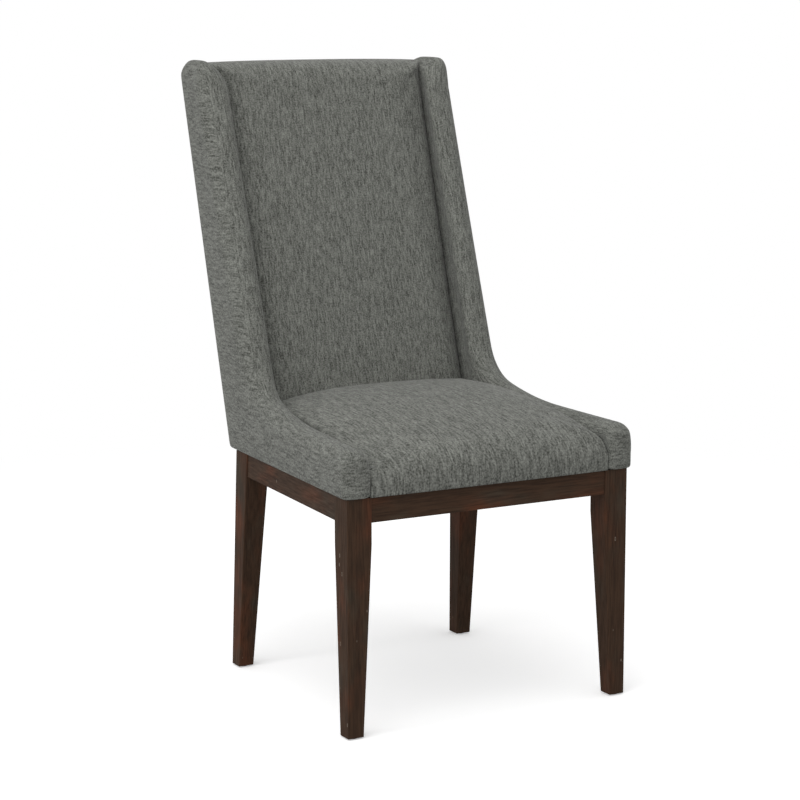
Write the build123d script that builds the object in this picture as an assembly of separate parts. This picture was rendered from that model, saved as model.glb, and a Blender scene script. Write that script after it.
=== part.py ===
from build123d import *
import math
import os

os.makedirs("parts", exist_ok=True)

# All sizes are in millimetres and degrees.
# While it is built, Y = 0 is the front face of the front legs, the back is toward +Y and Z = 0 is the floor.
# At the end the chair moves along Y so that the origin is at the bottom centre of its box.

# Wooden base
front_spread = 540.0
rear_spread = 484.0
base_depth = 475.0
base_height = 400.0
leg_top = 45.0
leg_foot = 29.0
taper_start = 322.0
rear_kick = 29.0
leg_easing = 1.6
apron_height = 42.0
apron_thick = 22.0
apron_setback = 2.0
apron_easing = 1.0
tenon_thick = 10.0
tenon_length = 20.0
tenon_shoulder = 6.0
block_height = 32.0
block_reach = 70.0
glide_radius = 9.0
glide_thick = 2.5
glide_pin_radius = 1.5
glide_pin_length = 14.0

# Fasteners
block_screw_radius = 2.0
block_screw_length = 28.0
block_screw_head = 4.0
block_screw_head_height = 2.4
block_screw_bite = 14.0
block_screw_edge = 16.0
bolt_radius = 3.0
bolt_hex = 10.0
bolt_head_height = 4.0
bolt_bite = 30.0
bolt_front_in = 13.0
bolt_front_set = 19.0
bolt_rear_in = 4.0
bolt_rear_set = 34.0
washer_radius = 8.0
washer_thick = 1.6
panel_screw_radius = 2.0
panel_screw_head = 4.2
panel_screw_sink = 2.6
panel_screw_length = 40.0
post_screw_low = 120.0
post_screw_pitch = 180.0
post_screw_count = 3
dowel_radius = 4.0
dowel_length = 36.0

# Outline of the body seen from the side
side_overhang_front = 6.4
side_overhang_rear = 0.8
wing_lean = 1.43
wing_thick = 48.0
wing_edge_radius = 18.0
arm_overhang = 6.5
arm_front_height = 77.0
arm_rise = 1.6
arm_corner_radius = 22.0
ramp_set = 155.0
ramp_height = 99.8
ramp_rise = 14.0
wing_foot_set = 99.0
wing_foot_height = 89.0
wing_rake = 18.8
scoop_radius = 92.0
body_height = 682.0
wing_top_front_radius = 30.0
wing_top_rear_radius = 34.0
rear_overhang = 28.5
rear_rake = 15.05

# Layers of the body
cover_thick = 2.0
panel_thick = 18.0
panel_depth = 12.0
panel_inset = 14.0
back_panel_thick = 2.5
back_panel_set = 3.0

# Seat
rail_thick = 25.0
rail_height = 40.0
rail_width = 40.0
front_rail_y = 14.0
rear_rail_set = 50.0
sheet_thick = 1.0
felt_thick = 2.0
strap_width = 50.0
strap_thick = 1.5
strap_slope = 4.0
strap_end = 4.0
seat_strap_pitch = 86.0
seat_cross_pitch = 100.0
seat_strap_bite = 20.0
seat_overhang = 8.0
seat_roll_radius = 46.0
seat_roll_height = 28.0
seat_roll_tilt = 14.0
seat_crest_set = 145.0
seat_side_drop = 16.0
seat_side_tuck = 4.0

# Back
post_depth = 40.0
post_width = 36.0
post_top_drop = 30.0
middle_rail_height = 320.0
lower_rail_height = 72.0
cross_rail_width = 50.0
cross_rail_thick = 26.0
back_foot_set = 70.0
back_rake = 16.6
back_top_drop = 2.5
back_roll_radius = 30.0
back_side_tuck = 6.0
back_flap = 30.0
back_strap_pitch = 95.0
back_cross_pitch = 125.0
back_strap_bite = 18.0

# Clearances
fit_gap = 0.1
soft_gap = 0.3
foam_gap = 0.5
end_gap = 0.5
felt_gap = 2.0
sheet_gap = 1.0
cut_slack = 5.0

base_top = base_height
foot_z = glide_thick
body_front = -arm_overhang
seat_front = -seat_overhang
wing_foot_y = base_depth - wing_foot_set
ramp_y = base_depth - ramp_set
rear_foot_y = base_depth + rear_overhang
rear_rail_y = base_depth - rear_rail_set
seat_crest_y = base_depth - seat_crest_set
back_foot_y = base_depth - back_foot_set
back_height = body_height - back_top_drop
post_height = back_height - post_top_drop
half_front = front_spread / 2
half_rear = rear_spread / 2
side_x = half_front + side_overhang_front
side_toe = (side_x - half_rear - side_overhang_rear) / base_depth
side_lean = math.tan(math.radians(wing_lean))
apron_bottom = base_top - apron_height
deck = base_top + sheet_thick + rail_height
felt_bottom = deck + 2 * strap_thick + soft_gap
seat_bottom = felt_bottom + felt_thick + soft_gap
rear_slope = math.tan(math.radians(rear_rake))
panel_inner = panel_depth + panel_thick
post_inner = panel_inner + post_width
rail_inner = panel_inner + rail_width
seat_depth = wing_thick + soft_gap
rear_line_y = rear_foot_y - back_panel_thick
rim_reach = wing_edge_radius + cut_slack
post_rear_y = rear_line_y - cover_thick - soft_gap
post_front_y = post_rear_y - post_depth
strap_zone = 2 * strap_thick + soft_gap


# A line in the side view is (y, z, direction); the body lies on its right hand.
def shifted(line, inset):
    y, z, direction = line
    turn = math.radians(direction)
    return (y + inset * math.sin(turn), z - inset * math.cos(turn), direction)


def meeting(first, second):
    y1, z1, d1 = first
    y2, z2, d2 = second
    c1, s1 = math.cos(math.radians(d1)), math.sin(math.radians(d1))
    c2, s2 = math.cos(math.radians(d2)), math.sin(math.radians(d2))
    run = ((y2 - y1) * s2 - (z2 - z1) * c2) / (c1 * s2 - s1 * c2)
    return (y1 + run * c1, z1 + run * s1)


def corners(lines):
    return [meeting(lines[i - 1], lines[i]) for i in range(len(lines))]


# The slanted plane that lies at a share of the way from the middle of the chair to one side.
def slice_plane(share, half_width):
    toe = share * side_toe
    lean = share * side_lean
    return Plane(origin=(share * half_width, 0, base_top), x_dir=(-toe, 1, 0), z_dir=(1, toe, -lean))


def slice_point(share, half_width, y, z):
    x = share * (half_width - side_toe * y + side_lean * (z - base_top))
    return Vector(x, y, z)


def to_slice(plane, share, half_width, y, z):
    local = plane.to_local_coords(slice_point(share, half_width, y, z))
    return (local.X, local.Y)


# A board on the right side of the chair: its outline from the side, its depth from the outer face, its
# thickness.
def side_face(points, depth):
    plane = slice_plane(1, side_x - depth)
    local = [to_slice(plane, 1, side_x - depth, y, z) for y, z in points]
    return plane, make_face(Polyline(*local, close=True)), local


def side_board(lines, depth, thick):
    plane, face, local = side_face(corners(lines), depth)
    return extrude(plane * face, amount=thick, dir=(-1, 0, 0))


def wing_lines(inset, bottom, reach):
    front = (body_front, base_top, 90)
    arm = (0, base_top + arm_front_height, arm_rise)
    ramp = (ramp_y, base_top + ramp_height, ramp_rise)
    wing = (wing_foot_y, base_top + wing_foot_height, 90 - wing_rake)
    top = (0, base_top + body_height, 0)
    rear = (rear_line_y - fit_gap + reach, base_top, 270 - rear_rake)
    edges = [shifted(line, inset) for line in (front, arm, ramp, wing, top, rear)]
    return edges + [(0, bottom, 180)]


# The arm's long hollow curve ends where the tighter scoop into the wing begins
arm_spot, scoop_spot = corners(wing_lines(0, base_top, 0))[2:4]
scoop_reach = scoop_radius * math.tan(math.radians(90 - wing_rake - ramp_rise) / 2)
hollow_reach = math.dist(arm_spot, scoop_spot) - scoop_reach - cut_slack
hollow_radius = hollow_reach / math.tan(math.radians(ramp_rise - arm_rise) / 2)


# A slab of the side, square to its face, so that its outline is true at the middle of the wing's thickness.
# It is made lying flat and is given with the plane that it goes on.
# Reach is what it has too much at the rear.
def wing_slab(inset, depth, thick, bottom, reach):
    lead = wing_thick / 2 - depth
    outline = corners(wing_lines(inset, bottom, reach))
    points = [(y + side_toe * lead, z - side_lean * lead) for y, z in outline]
    plane, face, local = side_face(points, depth)
    radii = {
        1: arm_corner_radius - inset,
        2: hollow_radius + inset,
        3: scoop_radius + inset,
        4: wing_top_front_radius - inset,
        5: wing_top_rear_radius - inset,
    }
    for index, radius in radii.items():
        spot = Vector(local[index][0], local[index][1], 0)
        near = face.vertices().sort_by_distance(spot)[0]
        face = fillet(near, radius)
    return plane, extrude(face, amount=-thick * plane.z_dir.X)


def level_foot(plane, slab, bottom):
    return split(plane * slab, bisect_by=Plane.XY.offset(bottom), keep=Keep.TOP)


# What lies in front of the body's flat rear face, with its rounded top corner
def rear_trim(inset):
    *_, top, rear, bottom = wing_lines(inset, 0, 0)
    bar = cross_bar([(-base_depth, 0, 90), shifted(top, -cut_slack / 10), rear, bottom])
    corner = bar.edges().filter_by(Axis.X).sort_by(Axis.Z)[-2:].sort_by(Axis.Y)[-1]
    return fillet(corner, wing_top_rear_radius - inset)


# The rims are rounded while the slab is too deep, so that the rear edge stays crisp
# where the outside back closes it.
def wing_form(inset, bottom):
    low = bottom - wing_edge_radius
    plane, slab = wing_slab(inset, inset, wing_thick - 2 * inset, low, rim_reach)
    sides = slab.faces().sort_by(SortBy.AREA)[-2:]
    edges = [edge for face in sides for edge in face.edges()]
    rims = [edge for edge in edges if plane.from_local_coords(edge.center()).Z > low + cut_slack]
    return level_foot(plane, fillet(rims, wing_edge_radius - inset), bottom) & rear_trim(inset)


def mirrored(solid):
    return mirror(solid, about=Plane.YZ)


# Keep what lies between the two sides at a depth from their outer faces.
def between(solid, depth):
    right = slice_plane(1, side_x - depth)
    left = slice_plane(-1, side_x - depth)
    kept = split(solid, bisect_by=right, keep=Keep.BOTTOM)
    return split(kept, bisect_by=left, keep=Keep.TOP)


# A bar across the chair with a given outline from the side.
def cross_bar(lines):
    face = make_face(Polyline(*corners(lines), close=True))
    return extrude(Plane.YZ * face, amount=front_spread, both=True)


def upright_box(y0, y1, z0, z1):
    size = (2 * front_spread, y1 - y0, z1 - z0)
    return Pos(0, (y0 + y1) / 2, (z0 + z1) / 2) * Box(*size)


def prism(points, z0, z1):
    face = make_face(Polyline(*points, close=True))
    return extrude(Pos(0, 0, z0) * face, amount=z1 - z0)


# Legs
def leg_section(x, y, size, z):
    return Pos(x, y, z) * Rectangle(size, size)


def front_leg():
    top = leg_section(half_front - leg_top / 2, leg_top / 2, leg_top, taper_start)
    foot = leg_section(half_front - leg_foot / 2, leg_foot / 2, leg_foot, foot_z)
    return loft([foot, top], ruled=True) + extrude(top, amount=base_top - taper_start)


def rear_leg():
    top = leg_section(half_rear - leg_top / 2, base_depth - leg_top / 2, leg_top, base_top)
    foot_y = base_depth + rear_kick - leg_foot / 2
    foot = leg_section(half_rear - leg_foot / 2, foot_y, leg_foot, foot_z)
    return loft([foot, top], ruled=True)


front_leg_block = front_leg()
rear_leg_block = rear_leg()
front_foot = (half_front - leg_foot / 2, leg_foot / 2)
rear_foot = (half_rear - leg_foot / 2, base_depth + rear_kick - leg_foot / 2)

# Right apron: a straight board between the front and rear leg, so it runs at a slant in plan
side_run_x = half_rear - half_front
side_run_y = base_depth - 2 * leg_top
side_run = math.hypot(side_run_x, side_run_y)
side_dir = Vector(side_run_x / side_run, side_run_y / side_run, 0)
side_in = Vector(-side_dir.Y, side_dir.X, 0)
side_start = Vector(half_front - apron_setback, leg_top, 0)


def side_spot(along, inward):
    spot = side_start + side_dir * along + side_in * inward
    return (spot.X, spot.Y)


def side_bar(start, end, outer, inner, z0, z1):
    ring = [side_spot(start, outer), side_spot(end, outer), side_spot(end, inner), side_spot(start, inner)]
    return prism(ring, z0, z1)


tenon_low = apron_bottom + tenon_shoulder
tenon_high = base_top - tenon_shoulder
tenon_in = (apron_thick - tenon_thick) / 2
mortise_reach = tenon_length + end_gap


def side_tenon(reach, gap):
    z0 = tenon_low - gap
    z1 = tenon_high + gap
    return side_bar(-reach, side_run + reach, tenon_in - gap, tenon_in + tenon_thick + gap, z0, z1)


def front_tenon(reach, gap):
    half = half_front - leg_top + reach
    y0 = apron_setback + tenon_in - gap
    y1 = y0 + tenon_thick + 2 * gap
    ring = [(-half, y0), (half, y0), (half, y1), (-half, y1)]
    return prism(ring, tenon_low - gap, tenon_high + gap)


def rear_tenon(reach, gap):
    half = half_rear - leg_top + reach
    y1 = base_depth - apron_setback - tenon_in + gap
    y0 = y1 - tenon_thick - 2 * gap
    ring = [(-half, y0), (half, y0), (half, y1), (-half, y1)]
    return prism(ring, tenon_low - gap, tenon_high + gap)


def upright_edges(solid):
    return [edge for edge in solid.edges() if abs(edge.tangent_at(0.5).Z) > 0.9]


def low_edges(solid):
    long_edges = [edge for edge in solid.edges() if edge.length > 200]
    return [edge for edge in long_edges if abs(edge.center().Z - apron_bottom) < 0.01]


side_core = side_bar(-tenon_length / 2, side_run + tenon_length / 2, 0, apron_thick, apron_bottom, base_top)
side_core = side_core - front_leg_block - rear_leg_block
front_half = half_front - leg_top
front_ring = [(-front_half, apron_setback), (front_half, apron_setback)]
front_ring += [(front_half, apron_setback + apron_thick), (-front_half, apron_setback + apron_thick)]
front_core = prism(front_ring, apron_bottom, base_top)
rear_out = base_depth - apron_setback
rear_half = half_rear - leg_top / 2
rear_ring = [(-rear_half, rear_out - apron_thick), (rear_half, rear_out - apron_thick)]
rear_ring += [(rear_half, rear_out), (-rear_half, rear_out)]
rear_core = prism(rear_ring, apron_bottom, base_top) - rear_leg_block - mirrored(rear_leg_block)

side_core = fillet(low_edges(side_core), apron_easing)
front_core = fillet(low_edges(front_core), apron_easing)
rear_core = fillet(low_edges(rear_core), apron_easing)
apron_right = side_core + side_tenon(tenon_length, 0)
apron_front = front_core + front_tenon(tenon_length, 0)
apron_rear = rear_core + rear_tenon(tenon_length, 0)


def glide(spot):
    upright = (Align.CENTER, Align.CENTER, Align.MIN)
    disc = Pos(spot[0], spot[1], 0) * Cylinder(glide_radius, glide_thick, align=upright)
    pin = Pos(spot[0], spot[1], glide_thick) * Cylinder(
        glide_pin_radius, glide_pin_length, align=(Align.CENTER, Align.CENTER, Align.MIN)
    )
    return disc + pin


def glide_hole(spot):
    standing = (Align.CENTER, Align.CENTER, Align.MIN)
    hole = Cylinder(glide_pin_radius + fit_gap, glide_pin_length + 2 * end_gap, align=standing)
    return Pos(spot[0], spot[1], foot_z - end_gap) * hole


front_leg_eased = fillet(upright_edges(front_leg_block), leg_easing)
rear_leg_eased = fillet(upright_edges(rear_leg_block), leg_easing)
leg_front_right = front_leg_eased - side_tenon(mortise_reach, fit_gap) - front_tenon(mortise_reach, fit_gap)
leg_front_right = leg_front_right - glide_hole(front_foot)
leg_rear_right = rear_leg_eased - side_tenon(mortise_reach, fit_gap) - rear_tenon(mortise_reach, fit_gap)
leg_rear_right = leg_rear_right - glide_hole(rear_foot)

# Corner blocks sit behind the legs against two aprons
block_low = base_top - block_height
front_in_y = apron_setback + apron_thick
rear_in_y = base_depth - apron_setback - apron_thick


def side_in_x(y):
    along = (y - side_start.Y - side_in.Y * apron_thick) / side_dir.Y
    return side_spot(along, apron_thick)[0]


front_leg_x = half_front - leg_top - end_gap
front_leg_y = leg_top + end_gap
rear_leg_x = half_rear - leg_top - end_gap
rear_leg_y = base_depth - leg_top - end_gap
front_far_y = leg_top + block_reach
rear_far_y = base_depth - leg_top - block_reach
front_block_ring = [
    (front_leg_x - block_reach, front_in_y),
    (front_leg_x, front_in_y),
    (front_leg_x, front_leg_y),
    (side_in_x(front_leg_y), front_leg_y),
    (side_in_x(front_far_y), front_far_y),
]
rear_block_ring = [
    (rear_leg_x - block_reach, rear_in_y),
    (rear_leg_x, rear_in_y),
    (rear_leg_x, rear_leg_y),
    (side_in_x(rear_leg_y), rear_leg_y),
    (side_in_x(rear_far_y), rear_far_y),
]
front_block = prism(front_block_ring, block_low, base_top)
rear_block = prism(rear_block_ring, block_low, base_top)
bolt_front = (half_front - leg_top - bolt_front_in, leg_top + bolt_front_set)
bolt_rear = (half_rear - leg_top - bolt_rear_in, base_depth - leg_top - bolt_rear_set)
block_mid_z = base_top - block_height / 2
screw_away = block_reach - block_screw_edge


# A round-headed screw along +Z of its frame: the head bears on Z = 0 and the shank runs to +Z.
def block_screw(gap):
    shank = Cylinder(
        block_screw_radius + gap, block_screw_length + gap, align=(Align.CENTER, Align.CENTER, Align.MIN)
    )
    head = Cylinder(
        block_screw_head + gap, block_screw_head_height + gap, align=(Align.CENTER, Align.CENTER, Align.MAX)
    )
    return shank + head


def counterbore(frame):
    hanging = (Align.CENTER, Align.CENTER, Align.MAX)
    well = Cylinder(block_screw_head + 2 * fit_gap, block_reach, align=hanging)
    return frame * well


screw_stand = block_screw_length - block_screw_bite
front_screw_frames = [
    Plane(origin=(front_leg_x - screw_away, front_in_y + screw_stand, block_mid_z), z_dir=(0, -1, 0)),
    Plane(
        origin=(
            side_in_x(leg_top + screw_away) + side_in.X * screw_stand,
            leg_top + screw_away + side_in.Y * screw_stand,
            block_mid_z,
        ),
        z_dir=(-side_in.X, -side_in.Y, 0),
    ),
]
rear_screw_frames = [
    Plane(origin=(rear_leg_x - screw_away, rear_in_y - screw_stand, block_mid_z), z_dir=(0, 1, 0)),
    Plane(
        origin=(
            side_in_x(base_depth - leg_top - screw_away) + side_in.X * screw_stand,
            base_depth - leg_top - screw_away + side_in.Y * screw_stand,
            block_mid_z,
        ),
        z_dir=(-side_in.X, -side_in.Y, 0),
    ),
]
right_screws = [frame * block_screw(0) for frame in front_screw_frames + rear_screw_frames]
screw_holes = [frame * block_screw(fit_gap) for frame in front_screw_frames + rear_screw_frames]


def bolt(spot, gap):
    x, y = spot
    under = block_low - washer_thick
    top = deck - rail_height + bolt_bite
    shank = Pos(x, y, under) * Cylinder(
        bolt_radius + gap, top - under + gap, align=(Align.CENTER, Align.CENTER, Align.MIN)
    )
    hexagon = RegularPolygon(bolt_hex / 2, 6, major_radius=False)
    head = extrude(Pos(x, y, under) * hexagon, amount=-bolt_head_height)
    return shank + head


def bolt_hole(spot):
    x, y = spot
    top = deck - rail_height + bolt_bite
    return Pos(x, y, block_low - end_gap) * Cylinder(
        bolt_radius + fit_gap, top - block_low + 2 * end_gap, align=(Align.CENTER, Align.CENTER, Align.MIN)
    )


def washer(spot):
    x, y = spot
    ring = Circle(washer_radius) - Circle(bolt_radius + fit_gap)
    return extrude(Pos(x, y, block_low) * ring, amount=-washer_thick)


for frame in front_screw_frames:
    front_block = front_block - counterbore(frame)
for frame in rear_screw_frames:
    rear_block = rear_block - counterbore(frame)
for hole in screw_holes:
    front_block = front_block - hole
    rear_block = rear_block - hole
    apron_front = apron_front - hole - mirrored(hole)
    apron_rear = apron_rear - hole - mirrored(hole)
    apron_right = apron_right - hole
right_bolt_holes = [bolt_hole(bolt_front), bolt_hole(bolt_rear)]
front_block = front_block - right_bolt_holes[0]
rear_block = rear_block - right_bolt_holes[1]

# Side of the body: board, padding around it and cover
panel_plane, panel_slab = wing_slab(panel_inset, panel_depth, panel_thick, base_top - cut_slack, 0)
wing_panel = level_foot(panel_plane, panel_slab, base_top)
wing_outer = wing_form(0, base_top)
wing_cut = wing_form(cover_thick, base_top - cut_slack)
wing_core = wing_form(cover_thick + foam_gap, base_top)


def post_lines(gap):
    front = (post_front_y - gap, base_top, 90 - rear_rake)
    rear = (post_rear_y + gap, base_top, 270 - rear_rake)
    return [front, (0, base_top + post_height + gap, 0), rear, (0, base_top - gap, 180)]


def rail_lines(y0, y1, gap):
    return [(y0 - gap, 0, 90), (0, deck + gap, 0), (y1 + gap, 0, 270), (0, deck - rail_height - gap, 180)]


# Room in the padding for the rails and posts, which bear on the board
post_room = side_board(post_lines(soft_gap), panel_inner, wing_thick - panel_inner + cut_slack)
room_end_y = post_front_y + post_depth / 4
room_lines = rail_lines(front_rail_y, room_end_y, soft_gap)[:3] + [(0, base_top - cut_slack, 180)]
rail_room = side_board(room_lines, panel_inner, wing_thick - panel_inner + cut_slack)
wing_cover = wing_outer - wing_cut - post_room - rail_room
wing_padding = wing_core - wing_panel - post_room - rail_room

# Back posts and rails
back_post = side_board(post_lines(0), panel_inner, post_width)
side_rail = side_board(rail_lines(front_rail_y + rail_thick, rear_rail_y, 0), panel_inner, rail_width)
seat_rail_front = between(cross_bar(rail_lines(front_rail_y, front_rail_y + rail_thick, 0)), panel_inner)
seat_rail_rear = between(cross_bar(rail_lines(rear_rail_y, rear_rail_y + rail_thick, 0)), panel_inner)


def back_rail(low):
    front = (post_front_y, base_top, 90 - rear_rake)
    rear = (post_front_y + cross_rail_thick, base_top, 270 - rear_rake)
    bar = cross_bar([front, (0, base_top + low + cross_rail_width, 0), rear, (0, base_top + low, 180)])
    return between(bar, post_inner)


top_rail_low = post_height - cross_rail_width
back_top_rail = back_rail(top_rail_low)
back_middle_rail = back_rail(middle_rail_height)
back_lower_rail = back_rail(lower_rail_height)


# Dowels, each half in one piece and half in the other
def dowel(frame, gap):
    return frame * Cylinder(dowel_radius + gap, dowel_length + 2 * gap)


def post_joint(height, share):
    z = base_top + height + cross_rail_width * share
    y = post_front_y + rear_slope * (z - base_top) + cross_rail_thick / 2
    x = slice_point(1, side_x - post_inner, y, z).X
    return Plane(origin=(x, y, z), z_dir=(1, 0, 0))


back_heights = [top_rail_low, middle_rail_height, lower_rail_height]
back_joints = [post_joint(height, share) for height in back_heights for share in (0.25, 0.75)]


def rail_joint(y, share):
    z = deck - rail_height * share
    x = slice_point(1, side_x - panel_inner - rail_width / 2, y, z).X
    return Plane(origin=(x, y, z), z_dir=(0, 1, 0))


rail_meetings = [front_rail_y + rail_thick, rear_rail_y]
seat_joints = [rail_joint(y, share) for y in rail_meetings for share in (0.25, 0.75)]
for frame in back_joints:
    hole = dowel(frame, fit_gap)
    back_post = back_post - hole
    back_top_rail = back_top_rail - hole - mirrored(hole)
    back_middle_rail = back_middle_rail - hole - mirrored(hole)
    back_lower_rail = back_lower_rail - hole - mirrored(hole)
for frame in seat_joints:
    hole = dowel(frame, fit_gap)
    side_rail = side_rail - hole
    seat_rail_front = seat_rail_front - hole - mirrored(hole)
    seat_rail_rear = seat_rail_rear - hole - mirrored(hole)
for hole in right_bolt_holes:
    side_rail = side_rail - hole

# Countersunk screws through the board into the rails and posts
panel_out = slice_plane(1, side_x - panel_depth).z_dir
post_mid_y = post_rear_y - post_depth / 2


def panel_screw_frame(y, z):
    spot = slice_point(1, side_x - panel_depth, y, z)
    return Plane(origin=(spot.X, spot.Y, spot.Z), z_dir=(-panel_out.X, -panel_out.Y, -panel_out.Z))


def post_screw_frame(height):
    return panel_screw_frame(post_mid_y + rear_slope * height, base_top + height)


def panel_screw(gap):
    head = Cone(
        panel_screw_head + gap,
        panel_screw_radius + gap,
        panel_screw_sink,
        align=(Align.CENTER, Align.CENTER, Align.MIN),
    )
    shank = Cylinder(
        panel_screw_radius + gap, panel_screw_length + gap, align=(Align.CENTER, Align.CENTER, Align.MIN)
    )
    return head + shank


rail_mid_z = deck - rail_height / 2
rail_third = (rear_rail_y - front_rail_y - rail_thick) / 3
panel_frames = [panel_screw_frame(front_rail_y + rail_thick + rail_third * n, rail_mid_z) for n in (1, 2)]
panel_frames += [post_screw_frame(post_screw_low + post_screw_pitch * n) for n in range(post_screw_count)]
right_panel_screws = [frame * panel_screw(0) for frame in panel_frames]
for frame in panel_frames:
    hole = frame * panel_screw(fit_gap)
    wing_panel = wing_panel - hole
    side_rail = side_rail - hole
    back_post = back_post - hole

# Seat and back forms: crowned in both directions and drawn in where they meet the sides
shares = [-1, -0.94, -0.8, -0.45, 0, 0.45, 0.8, 0.94, 1]
sag = {0: 0.0, 0.45: 0.07, 0.8: 0.28, 0.94: 0.52, 1: 1.0}
crown_half = side_x - seat_depth


def seat_section(share, inset, bottom):
    half = crown_half - inset
    plane = slice_plane(share, half)
    front = seat_front + inset + seat_side_tuck * sag[abs(share)]
    roll = seat_roll_radius - inset
    z0 = base_top + seat_roll_height - seat_side_drop * sag[abs(share)]
    middle_y = front + roll
    tilt = math.radians(seat_roll_tilt)
    half_turn = math.radians(45 - seat_roll_tilt / 2)
    end_y = middle_y - roll * math.sin(tilt)
    end_z = z0 + roll * math.cos(tilt)
    crest = (seat_crest_y - end_y) / math.sin(tilt)
    crest_z = end_z - crest * math.cos(tilt)
    rear_y = post_front_y
    rear_turn = math.asin((rear_y - seat_crest_y) / crest)
    mean_turn = (rear_turn - tilt) / 2
    a = (front, bottom)
    b = (front, z0)
    c = (middle_y - roll * math.cos(half_turn), z0 + roll * math.sin(half_turn))
    d = (end_y, end_z)
    e = (seat_crest_y + crest * math.sin(mean_turn), crest_z + crest * math.cos(mean_turn))
    f = (rear_y, crest_z + crest * math.cos(rear_turn))
    g = (rear_y, bottom)
    spots = [to_slice(plane, share, half, y, z) for y, z in (a, b, c, d, e, f, g)]
    a, b, c, d, e, f, g = spots
    ring = [Line(a, b), ThreePointArc(b, c, d), ThreePointArc(d, e, f), Line(f, g), Line(g, a)]
    return plane * make_face(ring)


def back_section(share, inset, bottom):
    half = crown_half - inset
    plane = slice_plane(share, half)
    tuck = back_side_tuck * sag[abs(share)]
    front = shifted((back_foot_y + tuck, base_top, 90 - back_rake), inset)
    top = (0, base_top + back_height - inset - tuck / 3, 0)
    rear = (rear_line_y - inset, base_top, 270 - rear_rake)
    a = meeting(front, (0, bottom, 0))
    peak = meeting(front, top)
    back_corner = meeting(top, rear)
    low_corner = meeting(rear, (0, bottom, 0))
    roll = back_roll_radius - inset
    turn = math.radians(90 - back_rake)
    reach = roll * math.tan(turn / 2)
    b = (peak[0] - reach * math.cos(turn), peak[1] - reach * math.sin(turn))
    d = (peak[0] + reach, peak[1])
    middle = (d[0], d[1] - roll)
    lean = math.radians(90) + turn / 2
    c = (middle[0] + roll * math.cos(lean), middle[1] + roll * math.sin(lean))
    rear_roll = math.radians(90 + rear_rake)
    rear_reach = roll / 2 * math.tan(rear_roll / 2) * 0.6
    e = (back_corner[0] - rear_reach, back_corner[1])
    f = (back_corner[0] - rear_reach * rear_slope, back_corner[1] - rear_reach)
    spots = [to_slice(plane, share, half, y, z) for y, z in (a, b, c, d, e, f, low_corner)]
    a, b, c, d, e, f, g = spots
    ring = [Line(a, b), ThreePointArc(b, c, d), Line(d, e), Line(e, f), Line(f, g), Line(g, a)]
    return plane * make_face(ring)


def seat_form(inset, bottom):
    return loft([seat_section(share, inset, bottom) for share in shares])


def back_form(inset, bottom):
    return loft([back_section(share, inset, bottom) for share in shares])


# Room for the frame behind the back foam and under the seat foam
zone_front = (post_front_y - strap_zone, base_top, 90 - rear_rake)
zone_top = (0, base_top + post_height + soft_gap, 0)
flap_low = base_top + post_height - back_flap
zone_rear = (post_rear_y + soft_gap / 2, base_top, 270 - rear_rake)
frame_room = cross_bar([zone_front, zone_top, zone_rear, (0, 0, 180)])
past_rear = (rear_foot_y + post_depth, base_top, 270 - rear_rake)
flap_room = cross_bar([zone_front, (0, flap_low, 0), past_rear, (0, 0, 180)])
seat_room = upright_box(front_rail_y - soft_gap, 2 * rear_foot_y, 0, seat_bottom)
back_face = shifted((back_foot_y, base_top, 90 - back_rake), -soft_gap)
back_room = cross_bar([back_face, (0, base_top + post_height, 0), (2 * rear_foot_y, 0, 270), (0, 0, 180)])
back_bottom = seat_bottom + soft_gap
back_outer = back_form(0, back_bottom)
back_core = back_form(cover_thick + foam_gap, back_bottom)
back_cut = back_form(cover_thick, back_bottom - cut_slack)
back_foam = back_core - frame_room - flap_room
inside_back_cover = back_outer - back_cut - frame_room - flap_room
seat_outer = seat_form(0, base_top)
seat_cut = seat_form(cover_thick, base_top - cut_slack)
seat_core = seat_form(cover_thick + foam_gap, base_top)
seat_cover = seat_outer - seat_cut - seat_room - back_room
seat_foam = seat_core - seat_room - back_room


# Woven straps: each runs over one crossing and under the next
def strap(length, crossings, over_first):
    ramp = strap_width / 2 + strap_slope
    levels = [(-length / 2, 0)]
    for number, spot in enumerate(crossings):
        high = strap_thick if (number % 2 == 0) == over_first else 0
        levels += [(spot - ramp, high), (spot + ramp, high)]
    levels.append((length / 2, 0))
    upper = [(run, level + strap_thick) for run, level in reversed(levels)]
    side = make_face(Polyline(*levels, *upper, close=True))
    return extrude(Plane.XZ * side, amount=strap_width / 2, both=True)


def spread(count, pitch):
    return [(number - (count - 1) / 2) * pitch for number in range(count)]


# Seat webbing: four straps front to back and three across
seat_mid_y = (front_rail_y + rear_rail_y + rail_thick) / 2
long_length = rear_rail_y + rail_thick - front_rail_y - 2 * strap_end
seat_across = spread(4, seat_strap_pitch)
seat_along = spread(3, seat_cross_pitch)
seat_straps = []
for number, x in enumerate(seat_across):
    band = strap(long_length, seat_along, number % 2 == 0)
    seat_straps.append(Pos(x, seat_mid_y, deck) * Rot(0, 0, 90) * band)
for number, y in enumerate(seat_along):
    reach = slice_point(1, side_x - rail_inner, seat_mid_y + y, deck).X + seat_strap_bite
    band = strap(2 * reach, seat_across, number % 2 == 1)
    seat_straps.append(Pos(0, seat_mid_y + y, deck) * band)

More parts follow.
